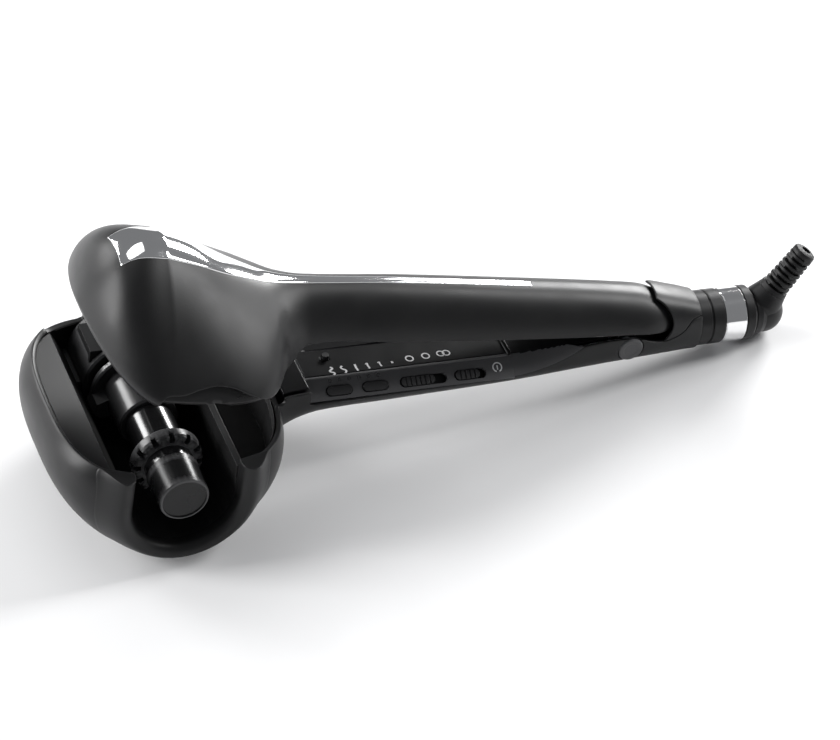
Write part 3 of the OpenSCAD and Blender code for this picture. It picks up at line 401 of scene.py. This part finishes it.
def surface(name, color, rough, metallic=0.0, grain=0.0, grain_size=0.4, coat=0.0, vary=0.06, wear=0.0,
            wear_color=(0.2, 0.2, 0.21), brushed=None, edge=0.25, specular=0.5):
    """Principled surface with mottled roughness and colour, a fine grain, rounded edges and wear on them.

    Sizes of the grain and of the edges' rounding are millimetres; brushed is a size, a stretch
    along x, y and z, and a strength.
    """
    m = bpy.data.materials.new(name)
    m.use_nodes = True
    nodes, links = m.node_tree.nodes, m.node_tree.links
    p = nodes["Principled BSDF"]
    p.inputs["Metallic"].default_value = metallic
    p.inputs["Specular IOR Level"].default_value = specular
    p.inputs["Coat Weight"].default_value = coat
    p.inputs["Coat Roughness"].default_value = COAT_ROUGH
    where = nodes.new("ShaderNodeTexCoord")

    def noise(size, detail=3.0, stretch=None):
        n = nodes.new("ShaderNodeTexNoise")
        n.inputs["Scale"].default_value = 1000 / size
        n.inputs["Detail"].default_value = detail
        source = where.outputs["Object"]
        if stretch:
            mapping = nodes.new("ShaderNodeMapping")
            mapping.inputs["Scale"].default_value = stretch
            links.new(source, mapping.inputs["Vector"])
            source = mapping.outputs["Vector"]
        links.new(source, n.inputs["Vector"])
        return n.outputs["Fac"]

    def ramp(value, start, end, low, high):
        r = nodes.new("ShaderNodeMapRange")
        r.inputs["From Min"].default_value = start
        r.inputs["From Max"].default_value = end
        r.inputs["To Min"].default_value = low
        r.inputs["To Max"].default_value = high
        links.new(value, r.inputs["Value"])
        return r.outputs["Result"]

    def blend(share):
        """Inputs of both colours and the output of a colour mix."""
        mix = nodes.new("ShaderNodeMix")
        mix.data_type = "RGBA"
        links.new(share, mix.inputs[0])
        return mix.inputs[6], mix.inputs[7], mix.outputs[2]

    swing = vary * 1.6
    mottled = ramp(noise(14, 5), 0.3, 0.7, rough * (1 - swing), rough * (1 + swing))
    links.new(mottled, p.inputs["Roughness"])
    dark, light, shade = blend(noise(30, 4))
    dark.default_value = (*[c * (1 - vary) for c in color], 1)
    light.default_value = (*[min(1, c * (1 + vary)) for c in color], 1)
    if wear:
        geometry = nodes.new("ShaderNodeNewGeometry")
        whole, worn, mixed = blend(ramp(geometry.outputs["Pointiness"], 0.52, 0.62, 0, wear))
        links.new(shade, whole)
        worn.default_value = (*wear_color, 1)
        shade = mixed
    links.new(shade, p.inputs["Base Color"])
    height = None
    if brushed:
        size, stretch, strength = brushed
        height = noise(size, 4, stretch)
    elif grain:
        height = noise(grain_size, 2)
        strength = grain
    rounded = None
    if edge:
        rounded = nodes.new("ShaderNodeBevel")
        rounded.samples = 4
        rounded.inputs["Radius"].default_value = edge / 1000
    if height is not None:
        bump = nodes.new("ShaderNodeBump")
        bump.inputs["Strength"].default_value = strength
        bump.inputs["Distance"].default_value = BUMP_DEPTH
        links.new(height, bump.inputs["Height"])
        if rounded:
            links.new(rounded.outputs["Normal"], bump.inputs["Normal"])
        links.new(bump.outputs["Normal"], p.inputs["Normal"])
    elif rounded:
        links.new(rounded.outputs["Normal"], p.inputs["Normal"])
    return m


LOOK = {
    "housing_black": surface("soft_touch_black", (0.0085, 0.0085, 0.009), 0.4, grain=0.3, grain_size=0.5,
                             vary=0.07, wear=0.3, wear_color=(0.03, 0.03, 0.031), specular=0.3),
    "liner_black": surface("moulded_liner", (0.011, 0.011, 0.0115), 0.38, grain=0.3, grain_size=0.35,
                           specular=0.3),
    "bezel_grey": surface("satin_bezel", (0.014, 0.014, 0.015), 0.42, grain=0.25, grain_size=0.4,
                          specular=0.3),
    "panel_black": surface("panel_black", (0.08, 0.08, 0.083), 0.4, grain=0.2, grain_size=0.3,
                           specular=0.35),
    "light_pipe": surface("light_pipe", (0.03, 0.03, 0.032), 0.15, coat=0.4),
    "board_green": surface("circuit_board", (0.012, 0.05, 0.03), 0.4, brushed=(1.1, (1, 6, 1), 0.5)),
    "switch_black": surface("switch_body", (0.01, 0.01, 0.011), 0.5, grain=0.3, specular=0.3),
    "barrel_black": surface("coated_barrel", (0.006, 0.006, 0.0065), 0.2, coat=0.35, vary=0.1),
    "cap_grey": surface("cap_satin", (0.009, 0.009, 0.0095), 0.27, grain=0.2, grain_size=0.35, wear=0.7,
                        wear_color=(0.2, 0.2, 0.205), specular=0.3),
    "rotor_grey": surface("rotor_satin", (0.016, 0.016, 0.017), 0.3, grain=0.15, grain_size=0.3, coat=0.15,
                          wear=0.3, wear_color=(0.07, 0.07, 0.072)),
    "heater_ceramic": surface("fired_ceramic", (0.7, 0.68, 0.62), 0.6, grain=0.6, grain_size=0.6),
    "steel": surface("brushed_steel", (0.55, 0.56, 0.58), 0.32, metallic=1,
                     brushed=(0.5, (1, 30, 1), 0.35)),
    "bright_trim": surface("mirror_chrome", (0.93, 0.93, 0.935), 0.07, metallic=1, vary=0.02,
                           brushed=(3.0, (1, 1, 1), 0.03), edge=0.2),
    "contact_brass": surface("brass", (0.75, 0.55, 0.25), 0.25, metallic=1, brushed=(0.5, (20, 1, 1), 0.3)),
    "bumper_rubber": surface("bumper_rubber", (0.2, 0.2, 0.205), 0.6, grain=0.5, grain_size=0.3),
    "gear_white": surface("natural_nylon", (0.75, 0.73, 0.67), 0.45, grain=0.2),
    "key_black": surface("key_black", (0.012, 0.012, 0.013), 0.42, grain=0.5, grain_size=0.25,
                         specular=0.35, wear=0.4, wear_color=(0.05, 0.05, 0.052)),
    "plunger_black": surface("plunger_black", (0.012, 0.012, 0.013), 0.4, grain=0.2, specular=0.3),
    "relief_rubber": surface("relief_rubber", (0.009, 0.009, 0.0095), 0.5, grain=0.5, grain_size=0.3,
                             specular=0.3),
}
# Black darkened further to paint the shade that the handle casts between the arms
PAINTED_SHADE_BLACK = surface("inner_black_painted_shade", (0.004, 0.004, 0.0045), 0.3, grain=0.1, grain_size=0.3,
                      specular=0.2)
PRINT_WHITE = surface("printed_ink", (0.75, 0.75, 0.76), 0.5, grain=0.3, grain_size=0.2, edge=0)

# ---------- upper arm ----------
# Share of the full number of stations and of points round them
fine = 1.0
SKIRT_WALL = 1.8


def steps(a, b, size):
    """Even places from a up to b, without b."""
    return np.linspace(a, b, max(2, int(abs(b - a) / size * fine)) + 1)[:-1]


def upper_surface(gap, n_top, n_low, x0=None, x1=None):
    """The upper arm's form moved inwards by gap, closed at both ends or between x0 and x1."""
    first = NOSE[0] + gap + 0.02
    last = TAIL[1] - gap - 0.02
    blunt = first + (NOSE[1] - first) * (1 - np.cos(np.linspace(0, math.pi / 2, int(46 * fine))[:-1]))
    tail = TAIL[0] + (last - TAIL[0]) * np.sin(np.linspace(0, math.pi / 2, 24))
    stations = np.concatenate([blunt, steps(NOSE[1], -132, 1.1), steps(-132, TAIL[0], 1.6), tail])
    if x0 is not None:
        stations = np.concatenate([[x0], stations[(stations > x0 + 0.4) & (stations < x1 - 0.4)], [x1]])
    n_top, n_low = int(n_top * fine), int(n_low * fine)
    return loft([upper_ring(x, gap, n_top, n_low) for x in stations], (x0 is None, x1 is None))


bm = upper_surface(0, 44, 26)
clip(bm, lambda x, y, z: z - smooth(UPPER_EDGE, x, 1))
shell = finish_piece(bm, "upper_housing", "upper_arm", "housing_black", ("upper_shell",))
thicken(shell, WALL)


# Skirt inside the dome, with room for the drive's hood
HOOD_R, HOOD_DROP, HOOD_Y = 19.2, 4.0, 15.0


def off_hood(x, y, z):
    return np.maximum(np.hypot(x - BARREL[0], z - BARREL[2] + HOOD_DROP) - HOOD_R, HOOD_Y - y)


bm = upper_surface(WALL + GAP, 40, 26, -202.5, 13.5)
clip(bm, lambda x, y, z: z - smooth(SKIRT_EDGE, x, 1))
clip(bm, off_hood)
skirt = finish_piece(bm, "dome_skirt", "upper_arm", "liner_black", ("upper_liner",))
thicken(skirt, SKIRT_WALL)

# Closing plate under the handle, with a slot for the lever at the hinge
SLOT_START, SLOT_HALF = -8.0, 9.5
grid = []
for x in np.arange(-141.8, 13, 1.5):
    z = float(smooth(SKIRT_EDGE, x, 1))
    w, m, _, d, _ = (float(v) for v in upper_at(x, WALL + GAP + 0.2))
    if z < m:
        w *= max(0.0, 1 - ((m - z) / max(d, 0.1)) ** FLOOR_POWER) ** (1 / FLOOR_POWER)
    grid.append([(x, w * t, z + 0.02) for t in np.linspace(1, -1, 25)])
bm = sheet_of(grid)
clip(bm, lambda x, y, z: np.maximum(SLOT_START - x, np.abs(y) - SLOT_HALF))
plate = finish_piece(bm, "handle_plate", "upper_arm", "liner_black")
thicken(plate, SKIRT_WALL, inwards=False)


# Bright plate along the crest; its rounded rim as rows of distance inwards and height above the shell
TRIM_RIM = np.array([[0, -0.45], [0, 0.1], [0.08, 0.24], [0.22, 0.32], [0.45, 0.35]])
TRIM_FRONT, TRIM_REAR = -217.0, -45.0


def trim_row(x, cap=TRIM_RIM[-1, 1]):
    """Points across the plate at x, none of them more than cap above the shell."""
    half = float(smooth(TRIM_KEYS, x, 1))
    ys = np.concatenate([half - TRIM_RIM[:, 0], np.linspace(half - TRIM_RIM[-1, 0], 0, 14)[1:]])
    lift = np.concatenate([TRIM_RIM[:, 1], np.full(13, TRIM_RIM[-1, 1])])
    ys = np.concatenate([ys, -ys[-2::-1]])
    lift = np.minimum(np.concatenate([lift, lift[-2::-1]]), cap)
    return [(x, y, float(crest_z(x, y)) + rise) for y, rise in zip(ys, lift)]


grid = [trim_row(TRIM_FRONT + inwards, cap) for inwards, cap in TRIM_RIM]
grid += [trim_row(x) for x in np.concatenate([steps(-216, -140, 0.8), steps(-140, -45.6, 2.0)])]
grid += [trim_row(TRIM_REAR - inwards, cap) for inwards, cap in TRIM_RIM[::-1]]
finish_piece(sheet_of(grid), "crest_plate", "upper_arm", "bright_trim", ("chrome_trim",), sharp=60)


# ---------- lower arm ----------
def level_ring(z, n):
    """Closed ring round the bowl at height z."""
    front, rear, half = (float(v) for v in bowl_at(z, 0))
    a = np.radians(np.linspace(0, 90, 160))
    e = 2 / PLAN_POWER
    r = even_arc(np.stack([rear * np.cos(a) ** e, half * np.sin(a) ** e], 1), n)
    f = even_arc(np.stack([front * np.cos(a) ** e, half * np.sin(a) ** e], 1), n)
    ring = np.concatenate([r[:-1], (f * [-1, 1])[::-1][:-1], (f * [-1, -1])[:-1], (r * [1, -1])[::-1][:-1]])
    ring = ring[::-1] + [BOWL_MID, 0]
    return np.column_stack([ring, np.full(len(ring), z)])


def flat_belly(bm):
    """Moves what would sink below the table up to it."""
    back = np.linalg.inv(ARM)
    for v in bm.verts:
        row = place([v.co], ARM)[0]
        if row[2] < 0:
            row[2] = 0
            v.co = (back @ (row - HINGE)) * 1000


def mouth(x, z):
    """Distance from the barrel's axis, or above it from the upright plane through it."""
    return np.where(z > BARREL[2], np.abs(x - BARREL[0]), np.hypot(x - BARREL[0], z - BARREL[2]))


# The mouth in the near wall, and the lowered rim at the far side as rows of x and z
MOUTH_R, MOUTH_DEPTH = CHAMBER_R + 5.2, 9
DIP_EDGE = np.array([[-224, -2.7], [-214.5, -6.3], [-200, -6.3]])
DIP_Y = 41


def off_dip(x, y, z):
    edge = np.interp(x, DIP_EDGE[:, 0], DIP_EDGE[:, 1])
    return np.maximum.reduce([edge - z, DIP_Y - y, x - DIP_EDGE[-1, 0], DIP_EDGE[0, 0] - x])


round_part = np.sin(np.linspace(0, math.pi / 2, int(56 * fine)))
levels = np.concatenate([steps(BOWL_RIM, BOWL_LEVEL, 1.0),
                         BOWL_LEVEL + (0.002 - BOWL_DEPTH - BOWL_LEVEL) * round_part])
bm = loft([level_ring(z, int(46 * fine)) for z in levels], (False, True))
clip(bm, lambda x, y, z: np.maximum(mouth(x, z) - MOUTH_R, y + HEAD_HALF - MOUTH_DEPTH))
clip(bm, off_dip)
flat_belly(bm)
bowl = finish_piece(bm, "bowl_housing", "lower_arm", "housing_black", ("lower_shell",))
thicken(bowl, WALL, 0.35)


# Collar round the mouth, from the chamber's edge out to the bowl's skin.
# Its lip as rows of distance from the barrel's axis and y
LIP = np.array([
    [19.9, -43.6], [20.0, -45.2], [20.3, -47.0], [20.7, -48.0], [21.3, -48.7], [22.2, -49.3],
    [23.2, -49.72], [24.0, -49.9], [24.6, -49.9]])
FACE_R, FACE_Y = LIP[-1]
# Range of its outer radius; it ends where the skin's y is still below REACH_Y and z above REACH_Z
REACH, REACH_Y, REACH_Z = (25.6, 33.0), -38.5, -45.5
START_SLOPE, SKIN_GAP, SKIN_LOWEST = 0.9, 0.02, -46.5


def bowl_skin_y(x, z):
    """y of the bowl's near wall at x, z; below the lowest level it stays as it is there."""
    z = np.maximum(z, SKIN_LOWEST)
    front, rear, half = bowl_at(z, 0)
    reach = np.where(x > BOWL_MID, rear, front)
    q = np.clip(np.abs(x - BOWL_MID) / reach, 0, 0.97)
    return -half * (1 - q ** PLAN_POWER) ** (1 / PLAN_POWER)


def collar_profile(cx, cz, nx, nz):
    """Points across the collar at one place of the mouth, from inside out; (nx, nz) points outwards."""
    def skin(r):
        return bowl_skin_y(cx + nx * r, cz + nz * r)

    reach = np.linspace(*REACH, 38)
    shallow = (skin(reach) < REACH_Y) & (cz + nz * reach > REACH_Z)
    end = float(reach[shallow].max()) if shallow.any() else REACH[0]
    fall = float(skin(end)) - SKIN_GAP - FACE_Y
    slope = (float(skin(end)) - float(skin(end - 1))) * (end - FACE_R)
    slope = min(slope, 3 * fall + 1)
    points = [(cx + nx * r, y, cz + nz * r) for r, y in LIP]
    for t in np.linspace(0, 1, 13)[1:]:
        ease = t * t * (3 - 2 * t)
        r = FACE_R + (end - FACE_R) * t
        y = FACE_Y + fall * ease + START_SLOPE * (t - 2 * t * t + t ** 3) + slope * (t ** 3 - t * t)
        points.append((cx + nx * r, min(y, float(skin(r)) - SKIN_GAP), cz + nz * r))
    return points


top_z = BOWL_RIM - 0.1
rows = [collar_profile(BARREL[0], z, -1, 0) for z in np.linspace(top_z, BARREL[2], 14)[:-1]]
for a in np.radians(np.linspace(180, 360, 97)):
    rows.append(collar_profile(BARREL[0], BARREL[2], math.cos(a), math.sin(a)))
rows += [collar_profile(BARREL[0], z, 1, 0) for z in np.linspace(BARREL[2], top_z, 14)[1:]]
bm = sheet_of(rows)
bm.verts.ensure_lookup_table()
count = len(rows[0])
bm.faces.new([bm.verts[i] for i in range(count)])
bm.faces.new([bm.verts[i] for i in range((len(rows) - 1) * count, len(rows) * count)])
bmesh.ops.recalc_face_normals(bm, faces=bm.faces)
flat_belly(bm)
collar = finish_piece(bm, "mouth_collar", "lower_arm", "housing_black", ("mouth_bezel",))
thicken(collar, 1.2, 0.2)


# Control facet: its slope, the edge it starts from, its ends along x, and how it runs out
BEVEL = math.radians(35)
BEVEL_COS, BEVEL_SIN = math.cos(BEVEL), math.sin(BEVEL)
BEVEL_Y, BEVEL_Z = -8.0, 0.3
PANEL = (-131.0, -48.0)
RUN_LENGTH, RUN_RISE = 30.0, 7.5


def on_bevel(u, v, w):
    """Point at u along the arm, v down the control facet and w out of it."""
    y = BEVEL_Y - v * BEVEL_COS - w * BEVEL_SIN
    z = BEVEL_Z - v * BEVEL_SIN + w * BEVEL_COS
    return np.stack(np.broadcast_arrays(u, y, z), -1)


def from_bevel(y, z):
    """v down the control facet and w out of it, of the point y, z."""
    y, z = y - BEVEL_Y, z - BEVEL_Z
    return -y * BEVEL_COS - z * BEVEL_SIN, -y * BEVEL_SIN + z * BEVEL_COS


def run_out(x):
    """Rise of the facet's end towards the cord, until it leaves the arm's surface."""
    return RUN_RISE * np.clip((x - PANEL[1]) / RUN_LENGTH, 0, 1) ** 1.7


def off_facet(x, y, z):
    v, w = from_bevel(y, z)
    rise = np.where(x > PANEL[1], run_out(x), -0.25)
    return np.maximum.reduce([rise - w, -v, PANEL[0] - x, x - PANEL[1] - RUN_LENGTH])


def inside_arm(x, y, z, gap):
    """Above 0 outside the lower arm, below 0 inside, as a share of its size."""
    w, c, m, d = (smooth(LOWER_KEYS, x, k) for k in (1, 2, 3, 4))
    h = np.where(z > m, c - m, m - d)
    power_sum = (np.abs(y) / (w - gap)) ** LOWER_POWER + (np.abs(z - m) / (h - gap)) ** LOWER_POWER
    return power_sum ** (1 / LOWER_POWER) - 1


def below_lower_edge(x, y, z):
    return smooth(LOWER_EDGE, x, 1) - z


# Housing of the arm: towards the head only what lies below STUB_TOP, with holes for the hinge caps
STUB_X, STUB_TOP, CAP_HOLE_R, ARM_END = -141.5, -2.6, 5.35, 31
stations = np.concatenate([steps(-170, ARM_END, 1.3), [ARM_END]])
bm = loft([arm_ring(x, int(34 * fine)) for x in stations])
clip(bm, below_lower_edge)
clip(bm, lambda x, y, z: np.maximum(STUB_TOP - z, x - STUB_X))
clip(bm, lambda x, y, z: inside_bowl(x, y, z, 1.0))
clip(bm, off_facet)
clip(bm, lambda x, y, z: np.hypot(x, z) - CAP_HOLE_R)
flat_belly(bm)
arm = finish_piece(bm, "arm_housing", "lower_arm", "housing_black")
thicken(arm, 1.4)

# End of the control facet, running out towards the cord
down = np.linspace(0, 12, 61)
along = np.linspace(PANEL[1], PANEL[1] + RUN_LENGTH, 91)
bm = sheet_of([on_bevel(x, down, float(run_out(x))) for x in along])
clip(bm, lambda x, y, z: -10 * inside_arm(x, y, z, 0.02))
clip(bm, below_lower_edge)
run = finish_piece(bm, "facet_run_out", "lower_arm", "housing_black", material=LOOK["panel_black"])
thicken(run, 1.2, 0)


# Inner face between the arms, round the control panel, in a black darker than the housing's: real black with
# painted shade from the handle above
PANEL_FAR_Y, SEAM, FACE_DROP = 7.0, 0.05, 0.05


def face_z(x):
    level = smooth(LOWER_EDGE, x, 1) - FACE_DROP
    ramp = BEVEL_Z + run_out(x) * BEVEL_COS
    return np.where(x > PANEL[1], np.minimum(ramp, level), level)


def face_row(x):
    """Points across the arm at x, from wall to wall."""
    z = float(face_z(x))
    w, c, m = (float(smooth(LOWER_KEYS, x, k)) for k in (1, 2, 3))
    w, rise = w - WALL - GAP, c - m - WALL - GAP
    half = w * max(0.0, 1 - (abs(z - m) / rise) ** LOWER_POWER) ** (1 / LOWER_POWER)
    return [(x, t * half, z) for t in np.linspace(1, -1, 49)]


def off_panel(x, y, z):
    return np.maximum.reduce([PANEL[0] - SEAM - x, x - PANEL[1] - SEAM, y - PANEL_FAR_Y - SEAM])


def below_run_out(x, y, z):
    """Above 0 below the facet's running-out end, and everywhere else."""
    v, w = from_bevel(y, z)
    return np.where((x > PANEL[1]) & (v > 0), run_out(x), 9.0) - w


bm = sheet_of([face_row(x) for x in steps(STUB_X, -8.5, 0.75)])
clip(bm, off_panel)
clip(bm, below_run_out)
face = finish_piece(bm, "inner_face", "lower_arm", "housing_black", ("inner_cover",), PAINTED_SHADE_BLACK)
thicken(face, 1.6, 0.2)

# Very dark thin sheet on the flat of the control panel, round the start plunger: painted shade of the handle over
# the flat
SHADE_SHEET_Z, SHADE_SHEET_NEAR_Y, SHADE_SHEET_THICK = 0.33, -7.75, 0.03
across = np.linspace(PANEL_FAR_Y, SHADE_SHEET_NEAR_Y, 31)
bm = sheet_of([[(x, y, SHADE_SHEET_Z) for y in across] for x in np.linspace(*PANEL, 150)])
clip(bm, lambda x, y, z: np.hypot(x - PLUNGER[0], y - PLUNGER[1]) - PLUNGER[2])
shade_sheet = finish_piece(bm, "panel_shade_sheet", "lower_arm", "panel_black", material=PAINTED_SHADE_BLACK)
thicken(shade_sheet, SHADE_SHEET_THICK, 0)


# ---------- printed marks ----------
INK = 0.03


def strokes(name, lines, place_on):
    """Ink strokes along lines given as points and a width; place_on takes their u, v and height."""
    bm = bmesh.new()
    for line, w in lines:
        pts = np.asarray(line, float)
        n = len(pts)
        loop = np.linalg.norm(pts[0] - pts[-1]) < 1e-6
        left, right = [], []
        for i in range(n):
            a = pts[i - 1] if i else (pts[-2] if loop else pts[0])
            b = pts[i + 1] if i < n - 1 else (pts[1] if loop else pts[-1])
            d = (b - a) / max(np.linalg.norm(b - a), 1e-9)
            side = np.array([-d[1], d[0]]) * w / 2
            left.append(pts[i] + side)
            right.append(pts[i] - side)
        low = [[bm.verts.new(place_on(*q, 0.0)) for q in side_pts] for side_pts in (left, right)]
        up = [[bm.verts.new(place_on(*q, INK)) for q in side_pts] for side_pts in (left, right)]
        for i in range(n - 1):
            bm.faces.new((up[0][i], up[1][i], up[1][i + 1], up[0][i + 1]))
            bm.faces.new((low[0][i], up[0][i], up[0][i + 1], low[0][i + 1]))
            bm.faces.new((up[1][i], low[1][i], low[1][i + 1], up[1][i + 1]))
        if not loop:
            for i in (0, n - 1):
                bm.faces.new((low[0][i], low[1][i], up[1][i], up[0][i]))
    bmesh.ops.recalc_face_normals(bm, faces=bm.faces)
    obj = finish_piece(bm, name, "lower_arm", "panel_black", material=PRINT_WHITE)
    del obj["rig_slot"]


def circle(cx, cy, r, start=0, end=360, n=28):
    turns = np.radians(np.linspace(start, end, n))
    return [(cx + r * math.cos(t), cy + r * math.sin(t)) for t in turns]


def on_flat(u, v, w):
    return (u, v, SHADE_SHEET_Z + 0.005 + w)


def on_facet(u, v, w):
    return tuple(float(c) for c in on_bevel(u, v, w + 0.02))


def mark(k, x, h):
    """Strokes of mark k at x, of height h: waves first, then bent strokes, the last a dot."""
    y = -5.6 + 0.16 * k
    if k < 2:
        t = np.linspace(0, 1, 26)
        sway = 0.75 * np.sin(t * 2 * math.pi * (1.5 - 0.5 * k))
        return [(np.stack([x + sway, y + h * (t - 0.5)], 1), 0.75)]
    if k == 5:
        return [([(x - 0.45, y), (x + 0.45, y)], 0.95)]
    lines = [([(x + 0.25, y - h / 2), (x, y), (x + 0.1, y + h / 2)], 0.95 - 0.08 * k)]
    if k > 2:
        lines.append(([(x - 0.7, y + h * 0.32), (x + 0.1, y + h / 2)], 0.45))
    return lines


# x and height of six marks of falling size
MARKS = [(-119.4, 4.4), (-114.6, 4.0), (-109.6, 3.7), (-104.8, 3.3), (-99.9, 2.6), (-94.9, 1.0)]
strokes("print_marks", [line for k, (x, h) in enumerate(MARKS) for line in mark(k, x, h)], on_flat)

# Two single rings and two linked ones, as x, y, radius and width
RINGS = [
    (-87.6, -3.9, 1.45, 0.55), (-80.9, -3.5, 1.45, 0.55),
    (-74.75, -3.2, 1.4, 0.5), (-72.45, -3.2, 1.4, 0.5)]
strokes("print_rings", [(circle(x, y, r), w) for x, y, r, w in RINGS], on_flat)

# Open ring with a short bar on the facet
POWER_X, POWER_V = -54.3, 4.6
bar = [(POWER_X, POWER_V - 0.7), (POWER_X, POWER_V + 1.0)]
strokes("print_power", [(circle(POWER_X, POWER_V, 1.75, -250, 70), 0.5), (bar, 0.5)], on_facet)

# ---------- tail cover, behind the upper arm ----------
COVER_FRONT, COVER_LIFT = 8.0, 0.25
# Oval that hollows the cover's front rim at the sides: x, z and its half axes
COVER_OVAL = (5.0, 8.3, 12.5, 10.0)
# The upper arm swings to this angle, in degrees, and keeps this distance, in millimetres
TAIL_SWING, TAIL_ROOM = 10, 1.1


def off_oval(x, y, z):
    cx, cz, rx, rz = COVER_OVAL
    return (np.hypot((x - cx) / rx, (z - cz) / rz) - 1) * rz


def clear_of_tail(x, y, z):
    """Distance from the room the upper arm's tail sweeps, in rough millimetres."""
    out = np.full(len(x), 99.0)
    for angle in np.radians(np.linspace(0, TAIL_SWING, 9)):
        c, s = math.cos(-angle), math.sin(-angle)
        xu, zu = x * c + z * s, -x * s + z * c
        out = np.minimum(out, inside_upper(xu, y, zu, -TAIL_ROOM))
    return out


stations = np.concatenate([steps(0, ARM_END, 0.7), [ARM_END]])
bm = loft([arm_ring(x, int(40 * fine)) for x in stations])
clip(bm, lambda x, y, z: z - smooth(LOWER_EDGE, x, 1) - COVER_LIFT)
clip(bm, lambda x, y, z: x - COVER_FRONT)
clip(bm, off_oval)
clip(bm, clear_of_tail)
cover = finish_piece(bm, "tail_cover", "lower_arm", "housing_black", ("rear_cover",))
thicken(cover, 0.9)

# ---------- carried-over CAD pieces ----------
slots = {s["node"]: s["material_slot"] for s in frame["record"]["subparts"]}
for name, node in frame["nodes"].items():
    node.data.materials.clear()
    node.data.materials.append(LOOK[slots[name]])
    if not node.hide_render:
        smooth_by_angle(node, 30)


# ---------- floor and light ----------
# Rows of name, place, aim, size and power; lengths are metres
LIGHTS = [
    ("left_box", (-1.35, 0.3, 0.6), (-0.12, 0, 0.06), (0.4, 0.8), 20),
    ("right_box", (1.35, 0.0, 0.85), (-0.05, 0, 0.03), (0.4, 0.9), 17),
    ("back_box", (1.15, 0.95, 0.5), (-0.15, 0, 0.04), (0.6, 0.4), 26),
    ("rear_left_box", (-0.85, 1.0, 0.55), (-0.12, 0, 0.03), (0.45, 0.45), 9),
    ("top_box", (-0.1, 0.5, 1.6), (0, 0, 0), (1.2, 0.7), 5)]
WORLD_COLOR, WORLD_STRENGTH = (0.95, 0.97, 1.0, 1), 0.2


def add_floor():
    bpy.ops.mesh.primitive_plane_add(size=8, location=(0, 0, 0))
    floor = bpy.context.object
    floor.name = "floor"
    floor.data.materials.append(surface("pale_floor", (0.86, 0.86, 0.865), 0.55, vary=0.01, edge=0))


def add_light(name, place_at, aim, size, power):
    lamp = bpy.data.lights.new(name, "AREA")
    lamp.shape = "RECTANGLE"
    lamp.size, lamp.size_y = size
    lamp.energy = power
    obj = bpy.data.objects.new(name, lamp)
    scene.collection.objects.link(obj)
    obj.location = place_at
    obj.rotation_euler = (Vector(aim) - Vector(place_at)).to_track_quat("-Z", "Y").to_euler()


add_floor()
for row in LIGHTS:
    add_light(*row)
world = bpy.data.worlds.new("studio")
scene.world = world
world.use_nodes = True
background = world.node_tree.nodes["Background"]
background.inputs[0].default_value = WORLD_COLOR
background.inputs[1].default_value = WORLD_STRENGTH
scene.view_settings.view_transform = "Standard"
